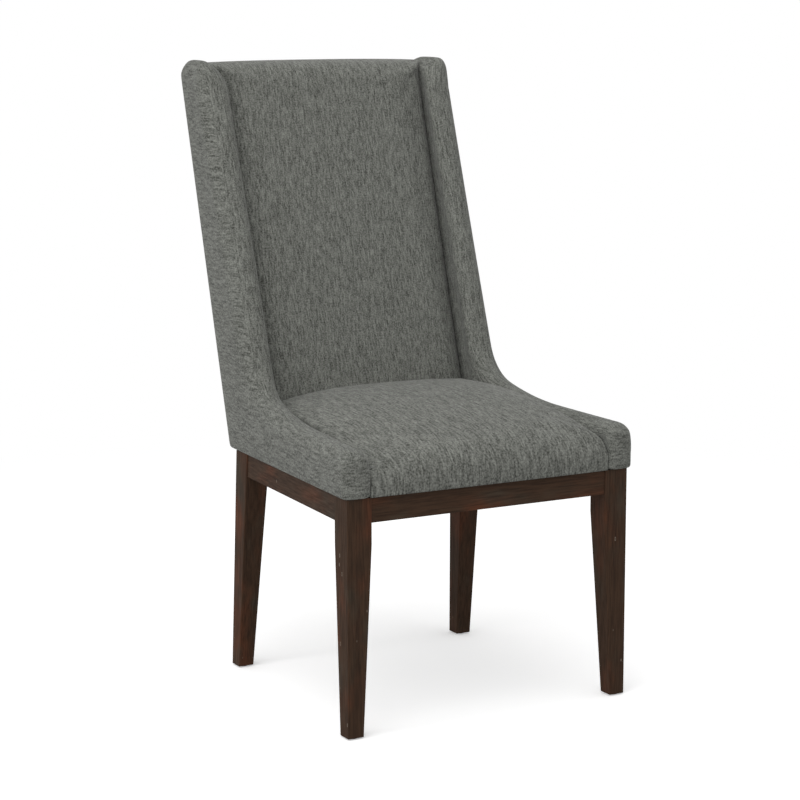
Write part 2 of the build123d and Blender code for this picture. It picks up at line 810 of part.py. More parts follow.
# Back webbing lies on the front of the posts
back_lie = Plane(
    origin=(0, post_front_y, base_top),
    x_dir=(1, 0, 0),
    z_dir=(0, -math.cos(math.radians(rear_rake)), math.sin(math.radians(rear_rake))),
)
slant = 1 / math.cos(math.radians(rear_rake))
low_edge = lower_rail_height * slant
high_edge = post_height * slant
back_mid = (low_edge + high_edge) / 2
back_up = spread(4, back_cross_pitch)
back_across = spread(3, back_strap_pitch)
back_half = slice_point(1, side_x - post_inner, post_front_y, base_top).X + back_strap_bite
back_straps = []
for number, x in enumerate(back_across):
    band = strap(high_edge - low_edge - 2 * strap_end, back_up, number % 2 == 0)
    back_straps.append(back_lie * Pos(x, back_mid, 0) * Rot(0, 0, 90) * band)
for number, rise in enumerate(back_up):
    band = strap(2 * back_half, back_across, number % 2 == 1)
    back_straps.append(back_lie * Pos(0, back_mid + rise, 0) * band)

# Sheets
felt_top = felt_bottom + felt_thick
felt_slab = upright_box(front_rail_y + sheet_gap, rear_rail_y + rail_thick, felt_bottom, felt_top)
felt = between(felt_slab, wing_thick + felt_gap)
sheet_slab = upright_box(front_rail_y, rear_rail_y + rail_thick, base_top, base_top + sheet_thick)
sheet = between(sheet_slab, panel_inner + sheet_gap)
for hole in right_bolt_holes:
    sheet = sheet - hole - mirrored(hole)
outside_front = (rear_line_y, base_top, 90 - rear_rake)
outside_rear = (rear_foot_y, base_top, 270 - rear_rake)
corner_drop = wing_top_rear_radius * (1 + math.sin(math.radians(rear_rake)))
outside_top = base_top + body_height - corner_drop
outside_bar = cross_bar([outside_front, (0, outside_top, 0), outside_rear, (0, base_top, 180)])
outside_back_panel = between(outside_bar, back_panel_set)


def both_sides(pieces):
    return pieces + [mirrored(piece) for piece in pieces]


nodes = {
    "leg_front_right": [leg_front_right],
    "leg_front_left": [mirrored(leg_front_right)],
    "leg_rear_right": [leg_rear_right],
    "leg_rear_left": [mirrored(leg_rear_right)],
    "apron_front": [apron_front],
    "apron_rear": [apron_rear],
    "apron_right": [apron_right],
    "apron_left": [mirrored(apron_right)],
    "corner_blocks": both_sides([front_block, rear_block]),
    "corner_block_screws": both_sides(right_screws),
    "leg_glides": both_sides([glide(front_foot), glide(rear_foot)]),
    "base_bolts": both_sides([bolt(bolt_front, 0), bolt(bolt_rear, 0)]),
    "base_washers": both_sides([washer(bolt_front), washer(bolt_rear)]),
    "seat_rail_front": [seat_rail_front],
    "seat_rail_rear": [seat_rail_rear],
    "seat_rail_right": [side_rail],
    "seat_rail_left": [mirrored(side_rail)],
    "seat_rail_dowels": both_sides([dowel(frame, 0) for frame in seat_joints]),
    "seat_webbing": seat_straps,
    "seat_felt": [felt],
    "seat_foam": [seat_foam],
    "seat_cover": [seat_cover],
    "dust_cover": [sheet],
    "back_post_right": [back_post],
    "back_post_left": [mirrored(back_post)],
    "back_top_rail": [back_top_rail],
    "back_middle_rail": [back_middle_rail],
    "back_lower_rail": [back_lower_rail],
    "back_rail_dowels": both_sides([dowel(frame, 0) for frame in back_joints]),
    "back_webbing": back_straps,
    "back_foam": [back_foam],
    "inside_back_cover": [inside_back_cover],
    "outside_back_panel": [outside_back_panel],
    "wing_panel_right": [wing_panel],
    "wing_panel_left": [mirrored(wing_panel)],
    "wing_padding_right": [wing_padding],
    "wing_padding_left": [mirrored(wing_padding)],
    "wing_cover_right": [wing_cover],
    "wing_cover_left": [mirrored(wing_cover)],
    "wing_panel_screws": both_sides(right_panel_screws),
}

# Move the origin to the bottom centre of the whole chair
boxes = [piece.bounding_box() for pieces in nodes.values() for piece in pieces]
first_y = min(box.min.Y for box in boxes)
last_y = max(box.max.Y for box in boxes)
centre_y = (first_y + last_y) / 2
for name, pieces in nodes.items():
    solids = [solid for piece in pieces for solid in (Pos(0, -centre_y, 0) * piece).solids()]
    shape = solids[0] if len(solids) == 1 else Compound(solids)
    export_step(shape, f"parts/{name}.step")
print("chair depth", last_y - first_y, "moved by", -centre_y)
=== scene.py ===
"""Looks of an upholstered dining chair: a padded fabric body on a dark wooden base.

The body's sizes repeat the chair's own, in metres. Y runs from the front face of the front legs to
the rear, Z from the floor up, and a share of the width from -1 at the left side to 1 at the right.
"""

import math

import bmesh
import bpy
from bpy.props import FloatProperty, FloatVectorProperty, IntProperty, PointerProperty
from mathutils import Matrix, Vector


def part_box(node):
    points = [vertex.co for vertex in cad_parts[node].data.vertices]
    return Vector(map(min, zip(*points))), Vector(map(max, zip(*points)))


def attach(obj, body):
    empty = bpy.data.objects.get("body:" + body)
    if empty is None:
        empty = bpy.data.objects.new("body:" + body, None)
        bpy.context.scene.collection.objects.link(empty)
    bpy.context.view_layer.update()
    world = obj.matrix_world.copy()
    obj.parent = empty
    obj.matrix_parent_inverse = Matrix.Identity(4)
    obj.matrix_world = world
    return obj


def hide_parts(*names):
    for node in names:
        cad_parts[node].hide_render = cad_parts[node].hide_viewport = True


bl_info = {
    "name": "Upholstered Dining Chair",
    "version": (1, 0, 0),
    "blender": (4, 5, 0),
    "location": "View3D > Sidebar > Chair",
    "description": "Dresses the chair's frame in padded fabric and dark wood, on a studio floor",
    "category": "Object",
}

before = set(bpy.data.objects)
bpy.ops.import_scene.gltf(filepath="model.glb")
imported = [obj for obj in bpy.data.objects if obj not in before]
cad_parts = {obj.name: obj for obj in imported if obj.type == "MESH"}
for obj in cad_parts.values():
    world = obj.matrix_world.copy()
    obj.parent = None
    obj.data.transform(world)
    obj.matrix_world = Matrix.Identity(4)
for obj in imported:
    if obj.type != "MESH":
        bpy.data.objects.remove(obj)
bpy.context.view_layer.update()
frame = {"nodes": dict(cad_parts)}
LEG_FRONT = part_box("leg_front_right")[0].y
BASE_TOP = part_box("apron_front")[1].z
# The padding has settled a little under the solid's top
TOP_SET = 0.0020
BODY_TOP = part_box("wing_cover_right")[1].z - TOP_SET
POST_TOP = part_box("back_post_right")[1].z
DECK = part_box("seat_rail_front")[1].z
UPRIGHT = math.pi / 2
SIDES = {"right": 1, "left": -1}
RAILS = [f"seat_rail_{side}" for side in ("front", "rear", "right", "left")]
# How much larger than on the back the weave lies on the seat and on the sides' outer faces
SEAT_WEAVE = 1.35
SIDE_WEAVE = 1.2


def length(name, description, default):
    return FloatProperty(name=name, description=description, default=default, unit="LENGTH", precision=4)


def angle(name, description, degrees):
    return FloatProperty(name=name, description=description, default=math.radians(degrees), subtype="ANGLE")


def amount(name, description, default):
    return FloatProperty(name=name, description=description, default=default)


def whole(name, description, default):
    return IntProperty(name=name, description=description, default=default)


def position(name, description, default):
    return FloatVectorProperty(name=name, description=description, default=default, subtype="XYZ")


def colour(name, description, default):
    return FloatVectorProperty(
        name=name, description=description, default=default, subtype="COLOR", size=3, min=0, max=1
    )


class BodySizes(bpy.types.PropertyGroup):
    """Sizes of the upholstered body."""

    half_width: length("Half width", "From the middle to the outer face at the front of the base", 0.2774)
    toe: amount("Toe", "How far a side draws in for each metre to the rear", 0.0707)
    lean: amount("Lean", "How far a side leans out for each metre of height", 0.0275)
    wing_thick: length("Wing thickness", "Thickness of a padded side at its front", 0.055)
    wing_taper: length("Wing taper", "How much thinner a wing is where it meets the inside back", 0.010)
    outer_rim: length("Outer rim", "Rounding of a side's outer rim", 0.023)
    inner_rim: length("Inner rim", "Rounding of a side's inner rim", 0.024)
    front_rim: length("Front rim", "Rounding of an arm's front end", 0.008)
    rear_rim: length("Rear rim", "Rounding of a side where the outside back closes it", 0.002)
    top_thinning: length("Top thinning", "How far a wing's inner side draws out at its top", 0.028)
    top_thinning_height: length("Thinning height", "Height over which it does so", 0.060)
    arm_thinning: length("Arm thinning", "How much thinner the arm is than the wing", 0.006)
    arm_overhang: length("Arm overhang", "How far the arms stand in front of the legs", 0.0080)
    arm_height: length("Arm height", "Height of an arm's front end above the base", 0.0785)
    arm_rise: angle("Arm rise", "Slope of the arm's top", 1.6)
    ramp_place: length("Ramp place", "A point where the arm's top climbs to the wing, from the legs", 0.320)
    ramp_height: length("Ramp height", "Height of that point above the base", 0.101)
    ramp_rise: angle("Ramp rise", "Slope of the arm's top there", 14.0)
    arm_corner_radius: length("Arm corner radius", "Rounding of the arm's front top corner", 0.022)
    wing_foot: length("Wing foot", "Where the wing's front edge would meet the arm, from the legs", 0.376)
    wing_foot_height: length("Wing foot height", "Height of that point above the base", 0.089)
    wing_rake: angle("Wing rake", "Lean of the wing's front edge to the rear", 18.8)
    scoop_radius: length("Scoop radius", "Radius of the curve from arm to wing", 0.092)
    wing_top_front_radius: length("Top front radius", "Rounding of the wing's front top corner", 0.030)
    wing_top_rear_radius: length("Top rear radius", "Rounding of the wing's rear top corner", 0.026)
    rear_foot: length("Rear foot", "Where the rear face meets the base", 0.5035)
    rear_rake: angle("Rear rake", "Lean of the rear face", 15.05)
    outside_thick: length("Outside back", "Thickness of the outside back panel at its edges", 0.0025)
    outside_set: length("Outside back edge", "From the outer face to the edge of the outside back", 0.003)
    seat_overhang: length("Seat overhang", "How far the seat stands in front of the legs", 0.008)
    seat_roll_radius: length("Seat roll", "Rounding of the seat's front edge", 0.046)
    seat_roll_height: length("Seat roll height", "Height of the seat's upright front above the base", 0.028)
    seat_roll_tilt: angle("Seat tilt", "Slope of the seat's top behind its front roll", 14.6)
    seat_crest: length("Seat crest", "Where the seat is highest", 0.330)
    seat_drop: length("Seat drop", "How far the seat falls to its sides", 0.007)
    seat_lean: length("Seat lean", "How much lower the seat lies along its left edge", 0.015)
    seat_edge: length("Seat edge", "Rounding of the seat where it meets the arms", 0.014)
    seat_tuck: length("Seat tuck", "How far the seat's front draws in at its sides", 0.003)
    back_foot: length("Back foot", "Where the inside back would meet the base", 0.391)
    back_rake: angle("Back rake", "Lean of the inside back", 16.6)
    back_drop: length("Back drop", "How far the back's top lies under the wings' tops", 0.0035)
    back_roll_radius: length("Back roll", "Rounding of the back's top front edge", 0.030)
    back_tuck: length("Back tuck", "How far the inside back draws in at its sides", 0.006)
    back_edge: length("Back edge", "Rounding of the inside back where it meets the wings", 0.027)
    seam_gap: length("Seam gap", "Room between neighbouring covers", 0.0003)


class Finishes(bpy.types.PropertyGroup):
    """Colours of the chair's materials."""

    yarn_light: colour("Light yarn", "Colour of the fabric's pale yarn", (0.284, 0.291, 0.264))
    yarn_dark: colour("Dark yarn", "Colour of the fabric's dark yarn", (0.032, 0.033, 0.028))
    wood: colour("Wood", "Main colour of the base", (0.062, 0.0350, 0.0215))
    wood_red: colour("Red wood", "Colour of the base's warm patches", (0.118, 0.043, 0.022))
    wood_grey: colour("Grey wood", "Colour of the base's cool patches", (0.062, 0.052, 0.038))
    wood_speck: colour("Specks", "Colour of the pale rims of small holes in the wood", (0.30, 0.25, 0.20))
    frame_wood: colour("Frame wood", "Colour of the hidden frame", (0.52, 0.36, 0.20))
    jute: colour("Webbing", "Colour of the woven straps", (0.42, 0.30, 0.17))
    felt: colour("Felt", "Colour of the felt under the seat foam", (0.30, 0.31, 0.32))
    dust_cloth: colour("Dust cloth", "Colour of the cloth under the seat", (0.018, 0.018, 0.020))
    steel: colour("Steel", "Colour of the screws and bolts", (0.55, 0.55, 0.56))
    glide: colour("Glides", "Colour of the feet's glides", (0.055, 0.048, 0.042))


class StageSettings(bpy.types.PropertyGroup):
    """The floor, the light and the camera."""

    floor_half: length("Floor", "Half width of the floor", 9.0)
    floor_near: length("Lit floor", "How far round the chair the floor shows its shadow", 1.0)
    floor_far: length("White floor", "Where the floor has become plain white", 2.2)
    floor_glow: amount("Floor glow", "Light added to the floor that is seen", 0.34)
    floor_colour: colour("Floor colour", "Colour of the floor", (0.97, 0.97, 0.97))
    floor_bounce: colour("Floor bounce", "Colour that the floor throws back", (0.58, 0.58, 0.58))
    sky: amount("Sky", "Strength of the even light from all round", 0.62)
    key_power: amount("Key lamp", "Power of the large lamp at the left", 156.0)
    side_power: amount("Side lamp", "Power of the tall lamp at the left", 22.0)
    top_power: amount("Top lamp", "Power of the lamp overhead", 32.0)
    lens: amount("Lens", "Focal length on a 36 mm frame", 106.96)
    shift_x: amount("Shift X", "Sideways shift of the camera's frame", -0.0217)
    shift_y: amount("Shift Y", "Upright shift of the camera's frame", 0.0267)
    eye: position("Eye", "Place of the camera from the legs' front", (-1.99893, -3.28773, 1.19507))
    target: position("Target", "Point that the camera looks at", (0, 0.25, 0.4655))


# Lines in the side view


def shifted(line, inset):
    """A line (y, z, direction) moved to its right by an inset, which is into the body."""
    y, z, turn = line
    return (y + inset * math.sin(turn), z - inset * math.cos(turn), turn)


def meeting(first, second):
    """The point where two lines cross."""
    y1, z1, d1 = first
    y2, z2, d2 = second
    run = ((y2 - y1) * math.sin(d2) - (z2 - z1) * math.cos(d2)) / math.sin(d2 - d1)
    return Vector((y1 + run * math.cos(d1), z1 + run * math.sin(d1)))


def arc(centre, radius, start, sweep, count):
    """Points on an arc, both ends included."""
    turns = [start + sweep * step / count for step in range(count + 1)]
    return [Vector((centre[0] + radius * math.cos(t), centre[1] + radius * math.sin(t))) for t in turns]


def corner_arc(first, second, radius, count=24):
    """The rounding where one line turns into the next."""
    turn = math.remainder(second[2] - first[2], math.tau)
    hand = math.copysign(1, turn)
    reach = radius * math.tan(abs(turn) / 2)
    corner = meeting(first, second)
    way = first[2]
    start = corner - reach * Vector((math.cos(way), math.sin(way)))
    centre = start + hand * radius * Vector((-math.sin(way), math.cos(way)))
    return arc(centre, radius, way - hand * UPRIGHT, turn, count)


def spaced(points, count):
    """The same run of points, taken again at even steps along it."""
    runs = [(b - a).length for a, b in zip(points, points[1:])]
    step = sum(runs) / count
    taken, walked, number = [points[0].copy()], 0.0, 0
    for stop in range(1, count):
        while number < len(runs) - 1 and walked + runs[number] < stop * step:
            walked += runs[number]
            number += 1
        share = (stop * step - walked) / max(runs[number], 1e-9)
        taken.append(points[number].lerp(points[number + 1], min(share, 1.0)))
    return taken + [points[-1].copy()]


def cornered(corners, counts):
    """A run of points along straight lines, with a number of steps for each line."""
    points = corners[:1]
    for first, last, count in zip(corners, corners[1:], counts):
        points += spaced([first, last], count)[1:]
    return points


def smooth_step(low, high, value):
    share = min(max((value - low) / (high - low), 0.0), 1.0)
    return share * share * (3 - 2 * share)


def edge_round(half, share, radius):
    """How far a pad's rounded side edge has sunk, at a share of its half width."""
    near = max(1 - half * (1 - abs(share)) / radius, 0.0)
    return radius * (1 - math.sqrt(1 - near**2))


class Body:
    """Lines and slices of the upholstered body, worked out from its sizes."""

    def __init__(self, sizes):
        self.sizes = sizes
        self.rear_line = sizes.rear_foot - sizes.outside_thick
        _, arm, ramp, wing, *_ = self.wing_lines(0, 0)
        scoop_reach = sizes.scoop_radius * math.tan((wing[2] - ramp[2]) / 2)
        straight = 0.005
        reach = (meeting(ramp, wing) - meeting(arm, ramp)).length - scoop_reach - straight
        self.hollow_radius = reach / math.tan((ramp[2] - arm[2]) / 2)

    def place(self, share, depth, y, z):
        """A point at a share of the width, on the plane that lies a depth inside the outer face."""
        sizes = self.sizes
        half = sizes.half_width - depth - sizes.toe * y + sizes.lean * (z - BASE_TOP)
        return Vector((share * half, LEG_FRONT + y, z))

    def inner_depth(self, y, z):
        """Depth of a side's inner face, which draws out at the wing's top and toward the inside back."""
        sizes = self.sizes
        share = max(1 - (BODY_TOP - z) / sizes.top_thinning_height, 0.0)
        front = sizes.wing_foot + math.tan(sizes.wing_rake) * (z - BASE_TOP - sizes.wing_foot_height)
        taper_start, taper_end = 0.008, 0.040
        taper = sizes.wing_taper * smooth_step(taper_start, taper_end, y - front)
        arm_end, wing_start = 0.09, 0.17
        arm = sizes.arm_thinning * (1 - smooth_step(arm_end, wing_start, z - BASE_TOP))
        return sizes.wing_thick - max(sizes.top_thinning * share**2, taper, arm)

    def wing_lines(self, inset, rear_inset):
        """Lines of the side's outline: arm front, arm, ramp, wing, top and rear."""
        sizes = self.sizes
        panel_room = 0.0005
        front = (-sizes.arm_overhang, BASE_TOP, UPRIGHT)
        arm = (0, BASE_TOP + sizes.arm_height, sizes.arm_rise)
        ramp = (sizes.ramp_place, BASE_TOP + sizes.ramp_height, sizes.ramp_rise)
        wing = (sizes.wing_foot, BASE_TOP + sizes.wing_foot_height, UPRIGHT - sizes.wing_rake)
        top = (0, BODY_TOP, 0)
        rear = (self.rear_line - panel_room, BASE_TOP, 3 * UPRIGHT - sizes.rear_rake)
        edges = [shifted(line, inset) for line in (front, arm, ramp, wing, top)]
        return edges + [shifted(rear, rear_inset)]

    def wing_chains(self, inset, rear_inset, foot):
        """The side's outline as five runs: arm front, arm and wing edge, top, rear and bottom."""
        sizes = self.sizes
        front, arm, ramp, wing, top, rear = self.wing_lines(inset, rear_inset)
        bottom = (0, foot, math.pi)
        arm_corner = corner_arc(front, arm, sizes.arm_corner_radius - inset)
        hollow = corner_arc(arm, ramp, self.hollow_radius + inset, 32)
        scoop = corner_arc(ramp, wing, sizes.scoop_radius + inset, 48)
        top_front = corner_arc(wing, top, sizes.wing_top_front_radius - inset)
        least = 0.003
        top_rear = corner_arc(top, rear, max(sizes.wing_top_rear_radius - inset, least))
        low_front = meeting(bottom, front)
        low_rear = meeting(rear, bottom)
        half = len(arm_corner) // 2
        return [
            [low_front] + arm_corner[: half + 1],
            arm_corner[half:] + hollow + scoop + top_front[: half + 1],
            top_front[half:] + top_rear[: half + 1],
            top_rear[half:] + [low_rear],
            [low_rear, low_front],
        ]

    def sag(self, share):
        """How far a pad has drawn in, from 0 at its middle to 1 at its sides."""
        return abs(share) ** 3

    def back_front(self, share, z):
        """Y of the inside back's front at a height."""
        sizes = self.sizes
        y = sizes.back_foot + math.tan(sizes.back_rake) * (z - BASE_TOP)
        half = self.place(1, self.inner_depth(y, z), y, z).x
        return y + sizes.back_tuck * share**2 + edge_round(half, share, sizes.back_edge)

    def seat_dive(self, share):
        """How far the seat's rounded edge has dropped, which is half as far at the lower left side."""
        sizes = self.sizes
        seat_middle, left_part = 0.2, 0.5
        half = self.place(1, sizes.wing_thick, seat_middle, BASE_TOP).x
        return edge_round(half, share, sizes.seat_edge) * (left_part if share < 0 else 1.0)

    def between_sides(self, share, *runs):
        """A slice's runs of points, set between the inner faces of the two sides."""
        gap = self.sizes.seam_gap
        return [[self.place(share, self.inner_depth(y, z) + gap, y, z) for y, z in run] for run in runs]


# Meshes


def new_piece(name, bm):
    """A finished object at the origin from a bmesh, smooth and facing outwards."""
    bmesh.ops.recalc_face_normals(bm, faces=bm.faces)
    mesh = bpy.data.meshes.new(name)
    bm.to_mesh(mesh)
    bm.free()
    mesh.polygons.foreach_set("use_smooth", [True] * len(mesh.polygons))
    piece = bpy.data.objects.new(name, mesh)
    bpy.context.collection.objects.link(piece)
    return piece


def baked(piece):
    """The piece with its modifiers turned into plain mesh."""
    graph = bpy.context.evaluated_depsgraph_get()
    mesh = bpy.data.meshes.new_from_object(piece.evaluated_get(graph), depsgraph=graph)
    piece.modifiers.clear()
    old = piece.data
    piece.data = mesh
    bpy.data.meshes.remove(old)
    mesh.name = piece.name
    return piece


def subdivided(piece):
    finer = piece.modifiers.new("finer", "SUBSURF")
    finer.levels = finer.render_levels = 1
    return baked(piece)


def puffed(piece, held, pressure, cap, frames=20):
    """Swells a cover over its filling as cloth, held at some points and moved by no more than the cap."""
    group = piece.vertex_groups.new(name="held")
    group.add(held, 1.0, "REPLACE")
    cloth = piece.modifiers.new("puff", "CLOTH")
    cover = {"quality": 6, "mass": 0.3, "tension_stiffness": 20, "compression_stiffness": 20}
    cover |= {"shear_stiffness": 8, "bending_stiffness": 1.5, "use_pressure": True}
    for name, value in cover.items():
        setattr(cloth.settings, name, value)
    cloth.settings.uniform_pressure_force = pressure
    cloth.settings.vertex_group_mass = "held"
    cloth.settings.effector_weights.gravity = 0
    cloth.collision_settings.use_collision = False
    cloth.collision_settings.use_self_collision = False
    cloth.point_cache.frame_start = 1
    cloth.point_cache.frame_end = frames
    for number in range(1, frames + 1):
        bpy.context.scene.frame_set(number)
    graph = bpy.context.evaluated_depsgraph_get()
    swollen = [vertex.co.copy() for vertex in piece.evaluated_get(graph).data.vertices]
    piece.modifiers.clear()
    for vertex, target in zip(piece.data.vertices, swollen):
        step = target - vertex.co
        if step.length > 1e-6:
            vertex.co += step * (cap * math.tanh(step.length / cap) / step.length)
    bpy.context.scene.frame_set(1)
    piece.vertex_groups.clear()


def ring_lengths(points):
    """The distance walked to each point of a run."""
    walked = [0.0]
    for a, b in zip(points, points[1:]):
        walked.append(walked[-1] + (b - a).length)
    return walked


def lofted(name, slices, first, last, stretch=1.0):
    """A closed pad from slices across the chair, and the points that hold its cover.

    A slice is an outer and an inner run of points that share both ends. The cover is held underneath,
    at both sides and at the first and last points of each outer run. The stretch draws out its weave.
    """
    bm = bmesh.new()
    layer = bm.loops.layers.uv.new("cloth")
    rows = []
    weave = {}
    for outer, inner in slices:
        tops = [bm.verts.new(point) for point in outer]
        unders = [tops[0]] + [bm.verts.new(point) for point in inner[1:-1]] + [tops[-1]]
        walked = ring_lengths(outer) + ring_lengths(inner)[1:-1]
        weave |= {vert: (vert.co.x, run) for vert, run in zip(tops + unders[1:-1], walked)}
        rows.append((tops, unders))
    for (tops, unders), (next_tops, next_unders) in zip(rows, rows[1:]):
        for j in range(len(tops) - 1):
            bm.faces.new((tops[j], next_tops[j], next_tops[j + 1], tops[j + 1]))
            bm.faces.new((unders[j + 1], next_unders[j + 1], next_unders[j], unders[j]))
    for tops, unders in (rows[0], rows[-1]):
        end = len(tops) - 1
        bm.faces.new((tops[0], tops[1], unders[1]))
        bm.faces.new((tops[end - 1], tops[end], unders[end - 1]))
        for j in range(1, end - 1):
            bm.faces.new((tops[j], tops[j + 1], unders[j + 1], unders[j]))
    for face in bm.faces:
        for corner in face.loops:
            across, along = weave[corner.vert]
            corner[layer].uv = (across / stretch, along / stretch)
    bm.verts.index_update()
    held = {vert.index for tops, unders in rows for vert in unders + tops[:first] + tops[-last:]}
    held |= {vert.index for tops, _ in rows[:2] + rows[-2:] for vert in tops}
    return new_piece(name, bm), held


def even_shares(count, crowd):
    """Shares of the width from -1 to 1, closer together near the sides."""
    steps = [2 * step / count - 1 for step in range(count + 1)]
    return [math.copysign(1 - (1 - abs(step)) ** crowd, step) for step in steps]


# Materials


class Field:
    """A socket in a tree of nodes. Arithmetic on fields adds Math nodes."""

    def __init__(self, owner, socket):
        self.owner = owner
        self.socket = socket

    def math(self, operation, *values):
        return self.owner.node("ShaderNodeMath", {"operation": operation}, dict(enumerate(values)))

    def __add__(self, other):
        return self.math("ADD", self, other)

    def __sub__(self, other):
        return self.math("SUBTRACT", self, other)

    def __rsub__(self, other):
        return self.math("SUBTRACT", other, self)

    def __mul__(self, other):
        return self.math("MULTIPLY", self, other)

    __radd__ = __add__
    __rmul__ = __mul__


class Tree:
    """A tree of nodes for a material, the world or a modifier."""

    def __init__(self, tree):
        self.tree = tree

    def put(self, socket, value):
        if isinstance(value, Field):
            self.tree.links.new(value.socket, socket)
        elif socket.type == "RGBA" and len(value) == 3:
            socket.default_value = (*value, 1)
        else:
            socket.default_value = value

    def node(self, kind, settings, sockets, output=0):
        """Adds a node, sets it up, then joins its sockets, given by identifier, name or number."""
        node = self.tree.nodes.new(kind)
        for key, value in settings.items():
            setattr(node, key, value)
        for key, value in sockets.items():
            found = [socket for socket in node.inputs if socket.identifier == key]
            self.put(found[0] if found else node.inputs[key], value)
        outputs = {socket.identifier: socket for socket in node.outputs}
        return Field(self, outputs[output] if isinstance(output, str) else node.outputs[output])

    def vector(self, x, y, z):
        return self.node("ShaderNodeCombineXYZ", {}, {0: x, 1: y, 2: z})


class Finish(Tree):
    """A material with one surface shader."""

    def __init__(self, name):
        self.material = bpy.data.materials.new(name)
        self.material.use_nodes = True
        super().__init__(self.material.node_tree)
        self.shader = self.tree.nodes["Principled BSDF"]

    def spot(self):
        """The place on the object, in metres."""
        return self.node("ShaderNodeTexCoord", {}, {}, "Object")

    def surface(self, **values):
        for key, value in values.items():
            self.put(self.shader.inputs[key.replace("_", " ")], value)

    def parts(self, vector):
        return [self.node("ShaderNodeSeparateXYZ", {}, {0: vector}, number) for number in range(3)]

    def noise(self, vector, scale, detail=2.0, roughness=0.5):
        sockets = {"Vector": vector, "Scale": scale, "Detail": detail, "Roughness": roughness}
        return self.node("ShaderNodeTexNoise", {}, sockets)

    def between(self, value, low, high):
        sockets = {"Value": value, "From Min": low, "From Max": high}
        return self.node("ShaderNodeMapRange", {"interpolation_type": "SMOOTHSTEP"}, sockets)

    def blend(self, share, first, second):
        sockets = {"Factor_Float": share, "A_Color": first, "B_Color": second}
        return self.node("ShaderNodeMix", {"data_type": "RGBA"}, sockets, "Result_Color")

    def bump(self, height, distance, strength):
        sockets = {"Height": height, "Distance": distance, "Strength": strength}
        return self.node("ShaderNodeBump", {}, sockets)


def cover_fabric(finishes):
    """Heathered chenille: soft flecks along the warp, a fine weave and broad mottling."""
    finish = Finish("heathered_chenille")
    across, along, _ = finish.parts(finish.node("ShaderNodeUVMap", {"uv_map": "cloth"}, {}))
    drift = finish.noise(finish.vector(across * 90, along * 90, 4.0), 1.0) * 0.0007
    across = across + drift

    def fleck(width, run, seed, low, high):
        spot = finish.vector(across * (1 / width), along * (1 / run), seed)
        return finish.between(finish.noise(spot, 1.0, 3.0, 0.6), low, high)

    pile = fleck(0.0031, 0.0190, 1.7, 0.36, 0.64)
    pale = fleck(0.0028, 0.0110, 9.3, 0.40, 0.66)
    grain = fleck(0.0024, 0.0028, 5.1, 0.30, 0.70)
    cloud = fleck(0.0200, 0.0400, 3.9, 0.32, 0.68)
    share = pile * 0.27 + pale * 0.22 + grain * 0.47 + cloud * 0.04
    tone = finish.blend(share, finishes.yarn_dark, finishes.yarn_light)
    height = pile * 0.5 + pale * 0.5 + grain * 0.5
    finish.surface(Base_Color=tone, Roughness=0.95, Specular_IOR_Level=0.10)
    finish.surface(Sheen_Weight=0.15, Sheen_Roughness=0.4, Normal=finish.bump(height, 0.0009, 0.6))
    return finish.material


def grained_wood(name, finishes, grain, seed):
    """Dark stained wood with grain along one axis, warm and cool patches and small pale-rimmed holes."""
    finish = Finish(name)
    axes = x, y, z = finish.parts(finish.spot())

    def along_grain(squeeze):
        scales = [squeeze if number == grain else 1.0 for number in range(3)]
        return finish.vector(*(axis * scale + seed for axis, scale in zip(axes, scales)))

    run, patch = along_grain(0.06), along_grain(0.45)
    fibre = finish.noise(run, 330.0, 4.0, 0.65)
    vein = finish.noise(run, 75.0, 3.0, 0.6)
    warm = finish.between(finish.noise(patch, 17.0, 3.0), 0.46, 0.70)
    cool = finish.between(finish.noise(patch, 23.0, 3.0), 0.50, 0.72)
    cells = {"Vector": finish.vector(x, y, z * 0.4), "Scale": 60.0, "Randomness": 1.0}
    away = finish.node("ShaderNodeTexVoronoi", {}, cells, "Distance")
    lot = finish.node("ShaderNodeTexVoronoi", {}, cells, "Color")
    chosen = finish.between(finish.parts(lot)[0], 0.70, 0.72)
    hole = chosen * (1 - finish.between(away, 0.035, 0.060))
    rim = chosen * (1 - finish.between(away, 0.075, 0.105)) - hole
    tone = finish.blend(warm * 0.75, finishes.wood, finishes.wood_red)
    tone = finish.blend(cool * 0.60, tone, finishes.wood_grey)
    dark_fibre, dark_vein = (0.012, 0.008, 0.006), (0.014, 0.009, 0.007)
    tone = finish.blend(finish.between(fibre, 0.35, 0.72) * 0.55, tone, dark_fibre)
    tone = finish.blend(finish.between(vein, 0.52, 0.75) * 0.35, tone, dark_vein)
    tone = finish.blend(rim * 0.55, tone, finishes.wood_speck)
    height = fibre * 0.5 + vein * 0.4 - hole * 1.5
    finish.surface(Base_Color=tone, Roughness=finish.between(fibre, 0.2, 0.8) * 0.16 + 0.46)
    finish.surface(Specular_IOR_Level=0.07, Normal=finish.bump(height, 0.0006, 0.35))
    return finish.material


def frame_timber(finishes):
    """Plain sawn wood of the hidden frame."""
    finish = Finish("sawn_timber")
    x, y, z = finish.parts(finish.spot())
    grain = finish.noise(finish.vector(x * 12, y * 3, z * 40), 6.0, 4.0)
    tone = finish.blend(finish.between(grain, 0.3, 0.7), finishes.frame_wood, (0.36, 0.23, 0.12))
    finish.surface(Base_Color=tone, Roughness=0.7, Normal=finish.bump(grain, 0.0005, 0.3))
    return finish.material


def bright_steel(finishes):
    """Zinc-plated steel with a faint cloudiness."""
    finish = Finish("plated_steel")
    cloud = finish.noise(finish.spot(), 260.0, 3.0)
    finish.surface(Base_Color=finishes.steel, Metallic=1.0, Roughness=cloud * 0.2 + 0.25)
    return finish.material


